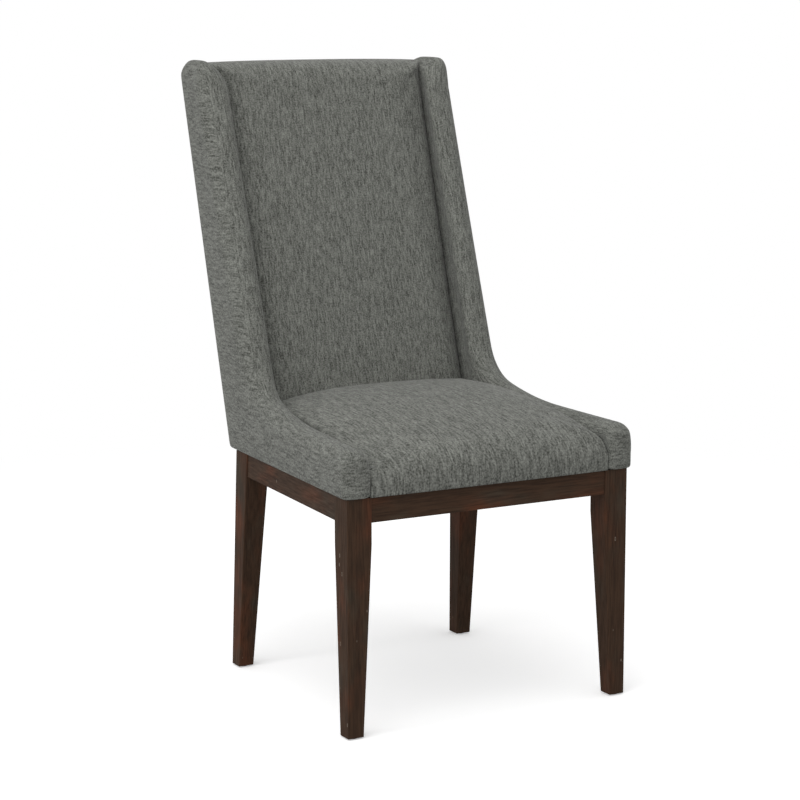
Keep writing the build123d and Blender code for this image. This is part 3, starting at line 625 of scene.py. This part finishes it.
def woven_jute(finishes):
    """Jute webbing: a coarse plain weave."""
    finish = Finish("jute_webbing")
    x, y, z = finish.parts(finish.spot())
    threads = 2100
    warp, weft = x * threads, y * threads + z * threads
    bands = warp.math("SINE", warp) * weft.math("SINE", weft)
    rough = finish.noise(finish.vector(x, y, z), 500.0)
    tone = finish.blend(finish.between(bands, -1.0, 1.0), finishes.jute, (0.24, 0.16, 0.09))
    finish.surface(Base_Color=tone, Roughness=0.9, Normal=finish.bump(bands + rough, 0.0005, 0.5))
    return finish.material


def matted(name, tone, light, scale, depth):
    """Felted or bonded fibres: a matt cloth with no weave."""
    finish = Finish(name)
    fibres = finish.noise(finish.spot(), scale, 5.0, 0.7)
    finish.surface(Base_Color=finish.blend(finish.between(fibres, 0.3, 0.75), tone, light))
    finish.surface(Roughness=0.92, Specular_IOR_Level=0.2, Normal=finish.bump(fibres, depth, 0.5))
    return finish.material


def moulded_nylon(finishes):
    """The glides' dull plastic, scuffed underneath."""
    finish = Finish("dull_nylon")
    scuff = finish.noise(finish.spot(), 420.0, 4.0)
    finish.surface(Base_Color=finishes.glide, Roughness=finish.between(scuff, 0.3, 0.7) * 0.3 + 0.4)
    return finish.material


def once(name, make, *values):
    """The material of that name, made the first time that it is asked for."""
    return bpy.data.materials.get(name) or make(*values)


def paint(piece, material):
    if piece.material_slots:
        for slot in piece.material_slots:
            slot.material = material
    else:
        piece.data.materials.append(material)


def settle(piece, slot, *nodes):
    """Attaches a finished piece to the chair's body and hides the CAD nodes that it stands for."""
    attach(piece, "root")
    if nodes:
        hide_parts(*nodes)


def upholster(context, piece, held, pressure, cap, *nodes):
    """Swells a pad, covers it with the fabric and hides the solids that it stands for."""
    puffed(piece, sorted(held), pressure, cap)
    paint(subdivided(piece), once("heathered_chenille", cover_fabric, context.scene.chair_finishes))
    settle(piece, "cover_fabric", *nodes)


# Pieces


class CHAIR_OT_wings(bpy.types.Operator):
    """Makes the two padded sides, each an arm and a wing in one piece"""

    bl_idname = "chair.wings"
    bl_label = "Sides"

    rows: whole("Rows", "Faces across an arm's front", 12)
    columns: whole("Columns", "Faces along the arm and wing", 112)
    rim_steps: whole("Rim steps", "Faces round a rim", 6)

    def stations(self, sizes):
        """Depth, inset and walked distance of each ring, round the outer and the inner rim."""
        turns = [UPRIGHT * step / self.rim_steps for step in range(self.rim_steps + 1)]

        def rim(radius):
            return [(radius * (1 - math.cos(t)), radius * (1 - math.sin(t)), radius * t) for t in turns]

        outer, inner = rim(sizes.outer_rim), rim(sizes.inner_rim)
        thick = sizes.wing_thick
        walk = outer[-1][2] + inner[-1][2] + thick - sizes.outer_rim - sizes.inner_rim
        return outer, [(thick - depth, inset, walk - run) for depth, inset, run in reversed(inner)]

    def loop(self, body, inset, rear_inset, foot):
        rear = self.columns * 3 // 5
        counts = (self.rows, self.columns, self.rows, rear, self.columns - rear)
        points = []
        for chain, count in zip(body.wing_chains(inset, rear_inset, foot), counts):
            points += spaced(chain, count)[:-1]
        return points

    def patch(self, ring):
        """Inner points of the flat face inside a ring, as a grid that follows its four edges."""
        rows, columns = self.rows, self.columns
        left = ring[: rows + 1]
        upper = ring[rows : rows + columns + 1]
        right = list(reversed(ring[rows + columns : 2 * rows + columns + 1]))
        lower = list(reversed(ring[2 * rows + columns :] + ring[:1]))
        grid = {}
        for i in range(1, columns):
            u = i / columns
            for j in range(1, rows):
                v = j / rows
                ends = (1 - u) * ((1 - v) * left[0] + v * left[-1])
                ends = ends + u * ((1 - v) * right[0] + v * right[-1])
                grid[i, j] = (1 - v) * lower[i] + v * upper[i] + (1 - u) * left[j] + u * right[j] - ends
        return grid

    def boundary(self, i, j):
        """Number in the ring of a grid point on the patch's edge."""
        rows, columns = self.rows, self.columns
        if i == 0:
            return j
        if j == rows:
            return rows + i
        if i == columns:
            return rows + columns + rows - j
        return 2 * rows + 2 * columns - i

    def side(self, body, name, hand):
        sizes = body.sizes
        rows, columns = self.rows, self.columns
        outer, inner = self.stations(sizes)
        total = 2 * (rows + columns)
        middle = self.loop(body, 0, 0, BASE_TOP)
        along = ring_lengths(middle)
        front_end, edge_start = 0.035, 0.105
        fade = [1 - smooth_step(front_end, edge_start, run) for run in along]
        fade[-1] = 1.0
        bm = bmesh.new()
        layer = bm.loops.layers.uv.new("cloth")
        flat, band = {}, {}

        def stand(point, depth):
            lead = sizes.wing_thick / 2 - depth
            y = point[0] + sizes.toe * lead
            z = max(point[1] - sizes.lean * lead, BASE_TOP + sizes.seam_gap)
            return body.place(hand, depth * body.inner_depth(y, z) / sizes.wing_thick, y, z)

        foot_round = 0.004
        rings, plans = [], []
        for number, (depth, inset, run) in enumerate(outer + inner):
            rim = sizes.outer_rim if number < len(outer) else sizes.inner_rim
            foot = BASE_TOP + foot_round * (inset / rim) ** 1.5
            rear_inset = inset * sizes.rear_rim / rim
            plan = self.loop(body, inset, rear_inset, foot)
            tight = self.loop(body, inset * sizes.front_rim / rim, rear_inset, foot)
            plan = [a.lerp(b, f) for a, b, f in zip(plan, tight, fade)]
            plans.append(plan)
            rings.append([bm.verts.new(stand(point, depth)) for point in plan])
            for i, vert in enumerate(rings[-1]):
                out = middle[i] - plans[0][i]
                out = out.normalized() if out.length > 1e-4 else Vector((0, -1))
                level = Vector((plans[0][i][0] - run, plan[i][1]))
                flat[vert] = plans[0][i] + out * run if i > rows else level
                band[vert] = Vector((run, along[i]))
        caps = []
        reference = rows + columns * 3 // 4
        rake = Vector((math.sin(sizes.wing_rake), math.cos(sizes.wing_rake)))
        across = Vector((rake.y, -rake.x))
        for plan, depth in ((plans[0], 0.0), (plans[-1], sizes.wing_thick)):
            verts = {}
            for key, point in self.patch(plan).items():
                vert = verts[key] = bm.verts.new(stand(point, depth))
                flat[vert] = point
                away = point - plans[-1][reference]
                band[vert] = Vector((inner[-1][2] + away.dot(across), along[reference] + away.dot(rake)))
            caps.append(verts)

        # Places in the weave that keep the two sides and the two regions from looking alike
        flat_start, band_start = Vector((hand, 0.7)), Vector((3.1 * hand, 0.3))

        def weave(face, region):
            for corner in face.loops:
                if region == "flat":
                    y, z = flat[corner.vert] + flat_start
                    corner[layer].uv = (z / SIDE_WEAVE, y / SIDE_WEAVE)
                else:
                    corner[layer].uv = band[corner.vert] + band_start

        seam = self.rim_steps * 2 // 3
        for number, (near, far) in enumerate(zip(rings, rings[1:])):
            for i in range(total):
                j = (i + 1) % total
                flat_rings = seam if rows <= i < 2 * rows + columns else len(outer)
                face = bm.faces.new((near[i], near[j], far[j], far[i]))
                weave(face, "flat" if i < rows or number < flat_rings else "band")
        for verts, ring, region in ((caps[0], rings[0], "flat"), (caps[1], rings[-1], "band")):

            def at(i, j):
                return verts.get((i, j)) or ring[self.boundary(i, j)]

            for i in range(columns):
                for j in range(rows):
                    weave(bm.faces.new((at(i, j), at(i + 1, j), at(i + 1, j + 1), at(i, j + 1))), region)
        bm.verts.index_update()
        held = set(caps[1].values()).union(*rings[len(outer) + 2 :])
        held = held.union(*(ring[:2] + ring[2 * rows + columns :] for ring in rings))
        held = {vert.index for vert in held}
        return new_piece(name, bm), held

    def execute(self, context):
        body = Body(context.scene.chair_sizes)
        for name, hand in SIDES.items():
            piece, held = self.side(body, f"wing_{name}", hand)
            upholster(context, piece, held, 3.0, 0.0025, f"wing_cover_{name}", f"wing_padding_{name}")
        return {"FINISHED"}


class CHAIR_OT_seat(bpy.types.Operator):
    """Makes the crowned seat between the arms"""

    bl_idname = "chair.seat"
    bl_label = "Seat"

    columns: whole("Columns", "Slices across the seat", 72)

    def slice(self, body, share):
        sizes = body.sizes
        sag = body.sag(share)
        dive = body.seat_dive(share)
        gap = sizes.seam_gap
        front = -sizes.seat_overhang + sizes.seat_tuck * sag
        roll = sizes.seat_roll_radius
        fall = sizes.seat_drop * sag + sizes.seat_lean * max(-share, 0.0) ** 2
        roll_z = BASE_TOP + sizes.seat_roll_height - fall
        webbing_room = 0.006
        low, under = BASE_TOP + gap, DECK + webbing_room
        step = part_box("seat_rail_front")[0].y - LEG_FRONT - gap
        front_rows, rear_rows, top_rows = 4, 6, 48
        turn = arc((front + roll, roll_z), roll, math.pi, sizes.seat_roll_tilt - UPRIGHT, 12)
        end = turn[-1]
        crest = (sizes.seat_crest - end[0]) / math.sin(sizes.seat_roll_tilt)
        crest_z = end[1] - crest * math.cos(sizes.seat_roll_tilt)

        def top_z(y):
            return crest_z + math.sqrt(crest**2 - (y - sizes.seat_crest) ** 2)

        rear = sizes.seat_crest
        for _ in range(12):
            rear = body.back_front(share, top_z(rear)) - gap
        top = [end[0] + (rear - end[0]) * n / top_rows for n in range(1, top_rows + 1)]
        outer = [Vector((front, low + (roll_z - low) * n / front_rows)) for n in range(front_rows)] + turn
        outer += [Vector((y, top_z(y))) for y in top]
        outer = [Vector((y, z - dive * smooth_step(low, roll_z + roll, z))) for y, z in outer]
        rear_z = outer[-1][1]
        for n in range(1, rear_rows + 1):
            z = rear_z + (under - rear_z) * n / rear_rows
            outer.append(Vector((body.back_front(share, z) - gap, z)))
        corners = [outer[0], Vector((step, low)), Vector((step, under)), outer[-1]]
        counts = (front_rows, rear_rows, len(outer) - 1 - front_rows - rear_rows)
        return body.between_sides(share, outer, cornered(corners, counts))

    def execute(self, context):
        body = Body(context.scene.chair_sizes)
        slices = [self.slice(body, share) for share in even_shares(self.columns, 1.35)]
        piece, held = lofted("seat", slices, 2, 7, SEAT_WEAVE)
        upholster(context, piece, held, 4.0, 0.004, "seat_cover", "seat_foam")
        return {"FINISHED"}


class CHAIR_OT_inside_back(bpy.types.Operator):
    """Makes the padded inside back, which rolls over the top and ends behind it"""

    bl_idname = "chair.inside_back"
    bl_label = "Inside back"

    columns: whole("Columns", "Slices across the back", 64)

    def slice(self, body, share):
        sizes = body.sizes
        sag = body.sag(share)
        panel_room, post_room, post_depth, post_cover = 0.0002, 0.0022, 0.0458, 0.0008
        webbing_room, flap_length, rear_radius = 0.007, 0.022, 0.016
        front = (body.back_front(share, BASE_TOP), BASE_TOP, UPRIGHT - sizes.back_rake)
        top = (0, BODY_TOP - sizes.back_drop - sizes.back_tuck * sag / 3, 0)
        rear = (body.rear_line - panel_room, BASE_TOP, 3 * UPRIGHT - sizes.rear_rake)
        bottom = (0, DECK + webbing_room, 0)
        flap = (0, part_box("outside_back_panel")[1].z - flap_length, 0)
        post_rear = (body.rear_line - post_room, BASE_TOP, 3 * UPRIGHT - sizes.rear_rake)
        post_front = (body.rear_line - post_depth, BASE_TOP, UPRIGHT - sizes.rear_rake)
        post_top = (0, POST_TOP + post_cover, 0)
        roll = corner_arc(front, top, sizes.back_roll_radius, 10)
        edge = corner_arc(top, rear, rear_radius, 6)
        start, stop = meeting(front, bottom), meeting(rear, flap)
        outer = spaced([start, roll[0]], 70)[:-1] + roll
        outer += spaced([roll[-1], edge[0]], 3)[1:-1] + edge + spaced([edge[-1], stop], 4)[1:]
        turns = ((post_front, bottom), (post_front, post_top), (post_top, post_rear))
        corners = [start, *(meeting(*lines) for lines in turns), stop]
        inner = cornered(corners, (4, len(outer) - 1 - 12, 4, 4))
        return body.between_sides(share, outer, inner)

    def execute(self, context):
        body = Body(context.scene.chair_sizes)
        slices = [self.slice(body, share) for share in even_shares(self.columns, 1.35)]
        piece, held = lofted("inside_back", slices, 6, 5)
        upholster(context, piece, held, 4.0, 0.004, "inside_back_cover", "back_foam")
        return {"FINISHED"}


class CHAIR_OT_outside_back(bpy.types.Operator):
    """Makes the flat padded panel that closes the rear"""

    bl_idname = "chair.outside_back"
    bl_label = "Outside back"

    columns: whole("Columns", "Slices across the panel", 48)

    def slice(self, body, share):
        sizes = body.sizes
        swell, foot_room, post_cover, end_round = 0.004, 0.002, 0.0055, 0.006
        inner_line = (body.rear_line, BASE_TOP, UPRIGHT - sizes.rear_rake)
        outer_line = shifted(inner_line, sizes.outside_thick + swell * (1 - abs(share) ** 6))
        low, high = (0, BASE_TOP + foot_room, 0), (0, POST_TOP + post_cover, 0)
        a, b = meeting(inner_line, low), meeting(inner_line, high)
        c, d = meeting(outer_line, low), meeting(outer_line, high)
        rise = (d - c).normalized() * end_round
        outer = [a, a.lerp(c, 0.7)] + spaced([c + rise, d - rise], 76) + [b.lerp(d, 0.7), b]
        inner = spaced([a, b], len(outer) - 1)
        return [[body.place(share, sizes.outside_set, y, z) for y, z in run] for run in (outer, inner)]

    def execute(self, context):
        body = Body(context.scene.chair_sizes)
        slices = [self.slice(body, share) for share in even_shares(self.columns, 1.3)]
        piece, held = lofted("outside_back", slices, 3, 3)
        upholster(context, piece, held, 2.0, 0.002, "outside_back_panel")
        return {"FINISHED"}


class CHAIR_OT_base(bpy.types.Operator):
    """Stains the legs and aprons and finishes their feet"""

    bl_idname = "chair.base"
    bl_label = "Wooden base"

    def execute(self, context):
        finishes = context.scene.chair_finishes
        nodes = frame["nodes"]
        legs = [f"leg_{corner}" for corner in ("front_right", "front_left", "rear_right", "rear_left")]
        for number, name in enumerate(legs):
            paint(nodes[name], grained_wood(f"dark_wood_{name}", finishes, 2, 3.1 * number))
        aprons = {"apron_front": 0, "apron_rear": 0, "apron_right": 1, "apron_left": 1}
        for number, (name, grain) in enumerate(aprons.items()):
            paint(nodes[name], grained_wood(f"dark_wood_{name}", finishes, grain, 20 + 2.3 * number))
        paint(nodes["leg_glides"], once("dull_nylon", moulded_nylon, finishes))
        return {"FINISHED"}


class CHAIR_OT_inner_frame(bpy.types.Operator):
    """Finishes the hidden frame, its fasteners and its webbing"""

    bl_idname = "chair.inner_frame"
    bl_label = "Hidden frame"

    def execute(self, context):
        finishes = context.scene.chair_finishes
        timber = once("sawn_timber", frame_timber, finishes)
        steel = once("plated_steel", bright_steel, finishes)
        jute = once("jute_webbing", woven_jute, finishes)
        members = ("post_right", "post_left", "top_rail", "middle_rail", "lower_rail", "rail_dowels")
        boards = ["wing_panel_right", "wing_panel_left", "corner_blocks", "seat_rail_dowels"]
        pieces = {
            timber: RAILS + [f"back_{member}" for member in members] + boards,
            steel: ("corner_block_screws", "base_bolts", "base_washers", "wing_panel_screws"),
            jute: ("seat_webbing", "back_webbing"),
        }
        for material, names in pieces.items():
            for name in names:
                paint(frame["nodes"][name], material)
        return {"FINISHED"}


class CHAIR_OT_underside(bpy.types.Operator):
    """Lays the felt on the webbing and stretches the stapled dust cloth under the seat"""

    bl_idname = "chair.underside"
    bl_label = "Felt and dust cloth"

    cells: whole("Cells", "Faces along a cloth's edge", 28)
    pitch: length("Staple pitch", "Distance from one staple to the next", 0.042)
    crown: length("Staple width", "Width of a staple's crown", 0.010)
    wire: length("Staple wire", "Thickness of a staple's wire", 0.0011)

    def cloth(self, name, corners, z, fall, thick):
        """A four-cornered cloth that hangs a little in its middle. Its place is its lower face."""
        bm = bmesh.new()
        front_left, front_right, rear_right, rear_left = corners
        shares = [number / self.cells for number in range(self.cells + 1)]
        rows = []
        for u in shares:
            near, far = front_left.lerp(front_right, u), rear_left.lerp(rear_right, u)
            hangs = [fall * (16 * u * (1 - u) * v * (1 - v)) ** 1.3 for v in shares]
            rows.append([bm.verts.new((*near.lerp(far, v), z - hang)) for v, hang in zip(shares, hangs)])
        for a, b in zip(rows, rows[1:]):
            for j in range(self.cells):
                bm.faces.new((a[j], b[j], b[j + 1], a[j + 1]))
        piece = new_piece(name, bm)
        wall = piece.modifiers.new("wall", "SOLIDIFY")
        wall.thickness = thick
        wall.offset = 1
        return baked(piece)

    def plan(self, node, inset=0.0):
        """The four corners of a flat CAD node that is wider in front."""
        points = [vert.co for vert in frame["nodes"][node].data.vertices]
        low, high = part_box(node)
        close = 0.001
        front = max(point.x for point in points if point.y < low.y + close) - inset
        rear = max(point.x for point in points if point.y > high.y - close) - inset
        near, far = low.y + inset, high.y - inset
        return [Vector(spot) for spot in ((-front, near), (front, near), (rear, far), (-rear, far))]

    def flat(self, corners):
        return (2 * corners[1][0], corners[2][1] - corners[1][1])

    def area(self, corners):
        return (corners[1][0] + corners[2][0]) * (corners[2][1] - corners[1][1])

    def staple_tree(self, steel):
        """Staples in a row along each edge of a mesh of lines."""
        tree = bpy.data.node_groups.new("staples", "GeometryNodeTree")
        tree.interface.new_socket("Lines", in_out="INPUT", socket_type="NodeSocketGeometry")
        for name, default in (("Pitch", self.pitch), ("Crown", self.crown), ("Wire", self.wire)):
            socket = tree.interface.new_socket(name, in_out="INPUT", socket_type="NodeSocketFloat")
            socket.default_value = default
        tree.interface.new_socket("Staples", in_out="OUTPUT", socket_type="NodeSocketGeometry")
        source = tree.nodes.new("NodeGroupInput")
        result = tree.nodes.new("NodeGroupOutput")
        work = Tree(tree)
        lines, pitch, crown, wire = [Field(work, source.outputs[number]) for number in range(4)]
        curve = work.node("GeometryNodeMeshToCurve", {}, {"Mesh": lines})
        steps = {"Curve": curve, "Length": pitch}
        spots = work.node("GeometryNodeCurveToPoints", {"mode": "LENGTH"}, steps)
        radius = wire * 0.5
        first, last = [work.vector(crown * half, 0.0, radius) for half in (-0.5, 0.5)]
        bar = work.node("GeometryNodeCurvePrimitiveLine", {}, {"Start": first, "End": last})
        ring = work.node("GeometryNodeCurvePrimitiveCircle", {}, {"Resolution": 8, "Radius": radius})
        tube = {"Curve": bar, "Profile Curve": ring, "Fill Caps": True}
        staple = work.node("GeometryNodeCurveToMesh", {}, tube)
        spread = {"Min": (0, 0, -0.35), "Max": (0, 0, 0.35), "Seed": 7}
        turn = work.node("FunctionNodeRandomValue", {"data_type": "FLOAT_VECTOR"}, spread)
        copies = {"Points": spots, "Instance": staple, "Rotation": turn}
        row = work.node("GeometryNodeInstanceOnPoints", {}, copies)
        real = work.node("GeometryNodeRealizeInstances", {}, {"Geometry": row})
        metal = work.node("GeometryNodeSetMaterial", {}, {"Geometry": real, "Material": steel})
        tree.links.new(metal.socket, result.inputs["Staples"])
        return tree

    def staples(self, context, z):
        """A row of staples through the dust cloth on each rail, clear of the corner blocks."""
        block_reach, past_middle, side_depth = 0.105, 0.004, 0.052
        front_half, rear_half = 0.125, 0.10
        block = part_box("corner_blocks")
        near, far = block[0].y + block_reach, block[1].y - block_reach
        rail_front = sum(corner.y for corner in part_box("seat_rail_front")) / 2 + past_middle
        rail_rear = sum(corner.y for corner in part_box("seat_rail_rear")) / 2 - past_middle
        body = Body(context.scene.chair_sizes)
        rows = ((front_half, rail_front), (rear_half, rail_rear))
        runs = [((-half, y), (half, y)) for half, y in rows]
        for hand in SIDES.values():
            ends = [body.place(hand, side_depth, y - LEG_FRONT, BASE_TOP) for y in (near, far)]
            runs.append([end.xy for end in ends])
        bm = bmesh.new()
        for run in runs:
            bm.edges.new([bm.verts.new((*spot, z)) for spot in run])
        mesh = bpy.data.meshes.new("dust_cloth_staples")
        bm.to_mesh(mesh)
        bm.free()
        piece = bpy.data.objects.new("dust_cloth_staples", mesh)
        context.collection.objects.link(piece)
        steel = once("plated_steel", bright_steel, context.scene.chair_finishes)
        maker = piece.modifiers.new("staples", "NODES")
        maker.node_group = self.staple_tree(steel)
        sockets = {item.name: item.identifier for item in maker.node_group.interface.items_tree}
        for name, value in (("Pitch", self.pitch), ("Crown", self.crown), ("Wire", self.wire)):
            maker[sockets[name]] = value
        return baked(piece)

    def execute(self, context):
        finishes = context.scene.chair_finishes
        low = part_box("dust_cover")[0].z
        dust_corners = self.plan("dust_cover")
        dust = self.cloth("dust_cloth", dust_corners, low + 0.0002, fall=0.004, thick=0.0006)
        paint(dust, matted("bonded_dust_cloth", finishes.dust_cloth, (0.045, 0.045, 0.048), 900.0, 0.0003))
        settle(dust, "dust_cloth", "dust_cover")
        staples = self.staples(context, low - self.wire)
        settle(staples, "steel")
        felt_corners = self.plan("seat_felt", inset=0.0005)
        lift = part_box("seat_felt")[0].z + 0.0001
        felt = self.cloth("seat_felt_sheet", felt_corners, lift, fall=0.0, thick=0.0018)
        paint(felt, matted("grey_felt", finishes.felt, (0.44, 0.44, 0.44), 700.0, 0.0006))
        settle(felt, "felt", "seat_felt")
        return {"FINISHED"}


def facing(place, target):
    """The turn of a lamp or camera that looks from a place at a target."""
    return (Vector(target) - Vector(place)).to_track_quat("-Z", "Y").to_euler()


class CHAIR_OT_stage(bpy.types.Operator):
    """Sets the floor, the soft studio light and the camera"""

    bl_idname = "chair.stage"
    bl_label = "Stage"

    def floor(self, stage):
        bm = bmesh.new()
        half = stage.floor_half
        square = ((-1, -1), (1, -1), (1, 1), (-1, 1))
        bm.faces.new([bm.verts.new((x * half, y * half, 0)) for x, y in square])
        floor = new_piece("studio_floor", bm)
        finish = Finish("studio_floor")
        seen = finish.node("ShaderNodeLightPath", {}, {}, "Is Camera Ray")
        tone = finish.blend(seen, stage.floor_bounce, stage.floor_colour)
        finish.surface(Base_Color=tone, Roughness=1.0, Specular_IOR_Level=0.0)
        glow = finish.blend(seen, (0, 0, 0), (1, 1, 1))
        finish.surface(Emission_Color=glow, Emission_Strength=stage.floor_glow)
        away = finish.node("ShaderNodeVectorMath", {"operation": "LENGTH"}, {0: finish.spot()}, "Value")
        far = finish.between(away, stage.floor_near, stage.floor_far) * seen
        white = finish.node("ShaderNodeEmission", {}, {"Color": (1, 1, 1), "Strength": 1.0})
        lit = Field(finish, finish.shader.outputs[0])
        mix = finish.node("ShaderNodeMixShader", {}, {0: far, 1: lit, 2: white})
        finish.tree.links.new(mix.socket, finish.tree.nodes["Material Output"].inputs["Surface"])
        paint(floor, finish.material)

    def sky(self, context, stage):
        world = bpy.data.worlds.new("studio")
        context.scene.world = world
        world.use_nodes = True
        sky = Tree(world.node_tree)
        light = sky.tree.nodes["Background"]
        light.inputs["Color"].default_value = (1, 1, 1, 1)
        light.inputs["Strength"].default_value = stage.sky
        white = sky.node("ShaderNodeBackground", {}, {"Color": (1, 1, 1), "Strength": 1.0})
        seen = 0.0
        for ray in ("Camera", "Glossy", "Transmission"):
            path = sky.node("ShaderNodeLightPath", {}, {}, f"Is {ray} Ray")
            seen = path.math("MAXIMUM", path, seen)
        mix = sky.node("ShaderNodeMixShader", {}, {0: seen, 1: Field(sky, light.outputs[0]), 2: white})
        sky.tree.links.new(mix.socket, sky.tree.nodes["World Output"].inputs["Surface"])

    def lamp(self, context, name, power, size, place, target):
        data = bpy.data.lights.new(name, "AREA")
        data.shape = "RECTANGLE"
        data.energy = power
        data.size, data.size_y = size
        lamp = bpy.data.objects.new(name, data)
        lamp.location = place
        lamp.rotation_euler = facing(place, target)
        context.collection.objects.link(lamp)

    def execute(self, context):
        stage = context.scene.chair_stage
        self.floor(stage)
        self.sky(context, stage)
        self.lamp(context, "key_lamp", stage.key_power, (6.0, 6.0), (-4.6, -2.6, 4.2), (0, 0, 0.5))
        self.lamp(context, "side_lamp", stage.side_power, (0.8, 4.0), (-4.6, -0.2, 2.4), (0, 0, 0.4))
        self.lamp(context, "top_lamp", stage.top_power, (2.4, 2.4), (-0.3, -0.6, 4.2), (0, 0, 0.3))
        data = bpy.data.cameras.new("camera")
        data.sensor_width = 36
        data.lens = stage.lens
        data.shift_x = stage.shift_x
        data.shift_y = stage.shift_y
        camera = bpy.data.objects.new("camera", data)
        camera.location = Vector(stage.eye) + Vector((0, LEG_FRONT, 0))
        camera.rotation_euler = facing(stage.eye, stage.target)
        context.collection.objects.link(camera)
        context.scene.camera = camera
        context.scene.view_settings.view_transform = "Standard"
        return {"FINISHED"}


STEPS = (
    CHAIR_OT_wings,
    CHAIR_OT_seat,
    CHAIR_OT_inside_back,
    CHAIR_OT_outside_back,
    CHAIR_OT_base,
    CHAIR_OT_inner_frame,
    CHAIR_OT_underside,
    CHAIR_OT_stage,
)


class CHAIR_PT_panel(bpy.types.Panel):
    """Lists the chair's steps and settings"""

    bl_idname = "CHAIR_PT_panel"
    bl_label = "Upholstered chair"
    bl_space_type = "VIEW_3D"
    bl_region_type = "UI"
    bl_category = "Chair"

    def draw(self, context):
        for step in STEPS:
            self.layout.operator(step.bl_idname)
        for group in (context.scene.chair_sizes, context.scene.chair_finishes, context.scene.chair_stage):
            box = self.layout.box()
            for name in group.__annotations__:
                box.prop(group, name)


GROUPS = {"chair_sizes": BodySizes, "chair_finishes": Finishes, "chair_stage": StageSettings}


def register():
    for cls in (*GROUPS.values(), *STEPS, CHAIR_PT_panel):
        bpy.utils.register_class(cls)
    for name, group in GROUPS.items():
        setattr(bpy.types.Scene, name, PointerProperty(type=group))


def unregister():
    for name in GROUPS:
        delattr(bpy.types.Scene, name)
    for cls in reversed((*GROUPS.values(), *STEPS, CHAIR_PT_panel)):
        bpy.utils.unregister_class(cls)


def main():
    register()
    for step in STEPS:
        getattr(bpy.ops.chair, step.bl_idname.split(".")[1])()


if __name__ == "__main__":
    main()
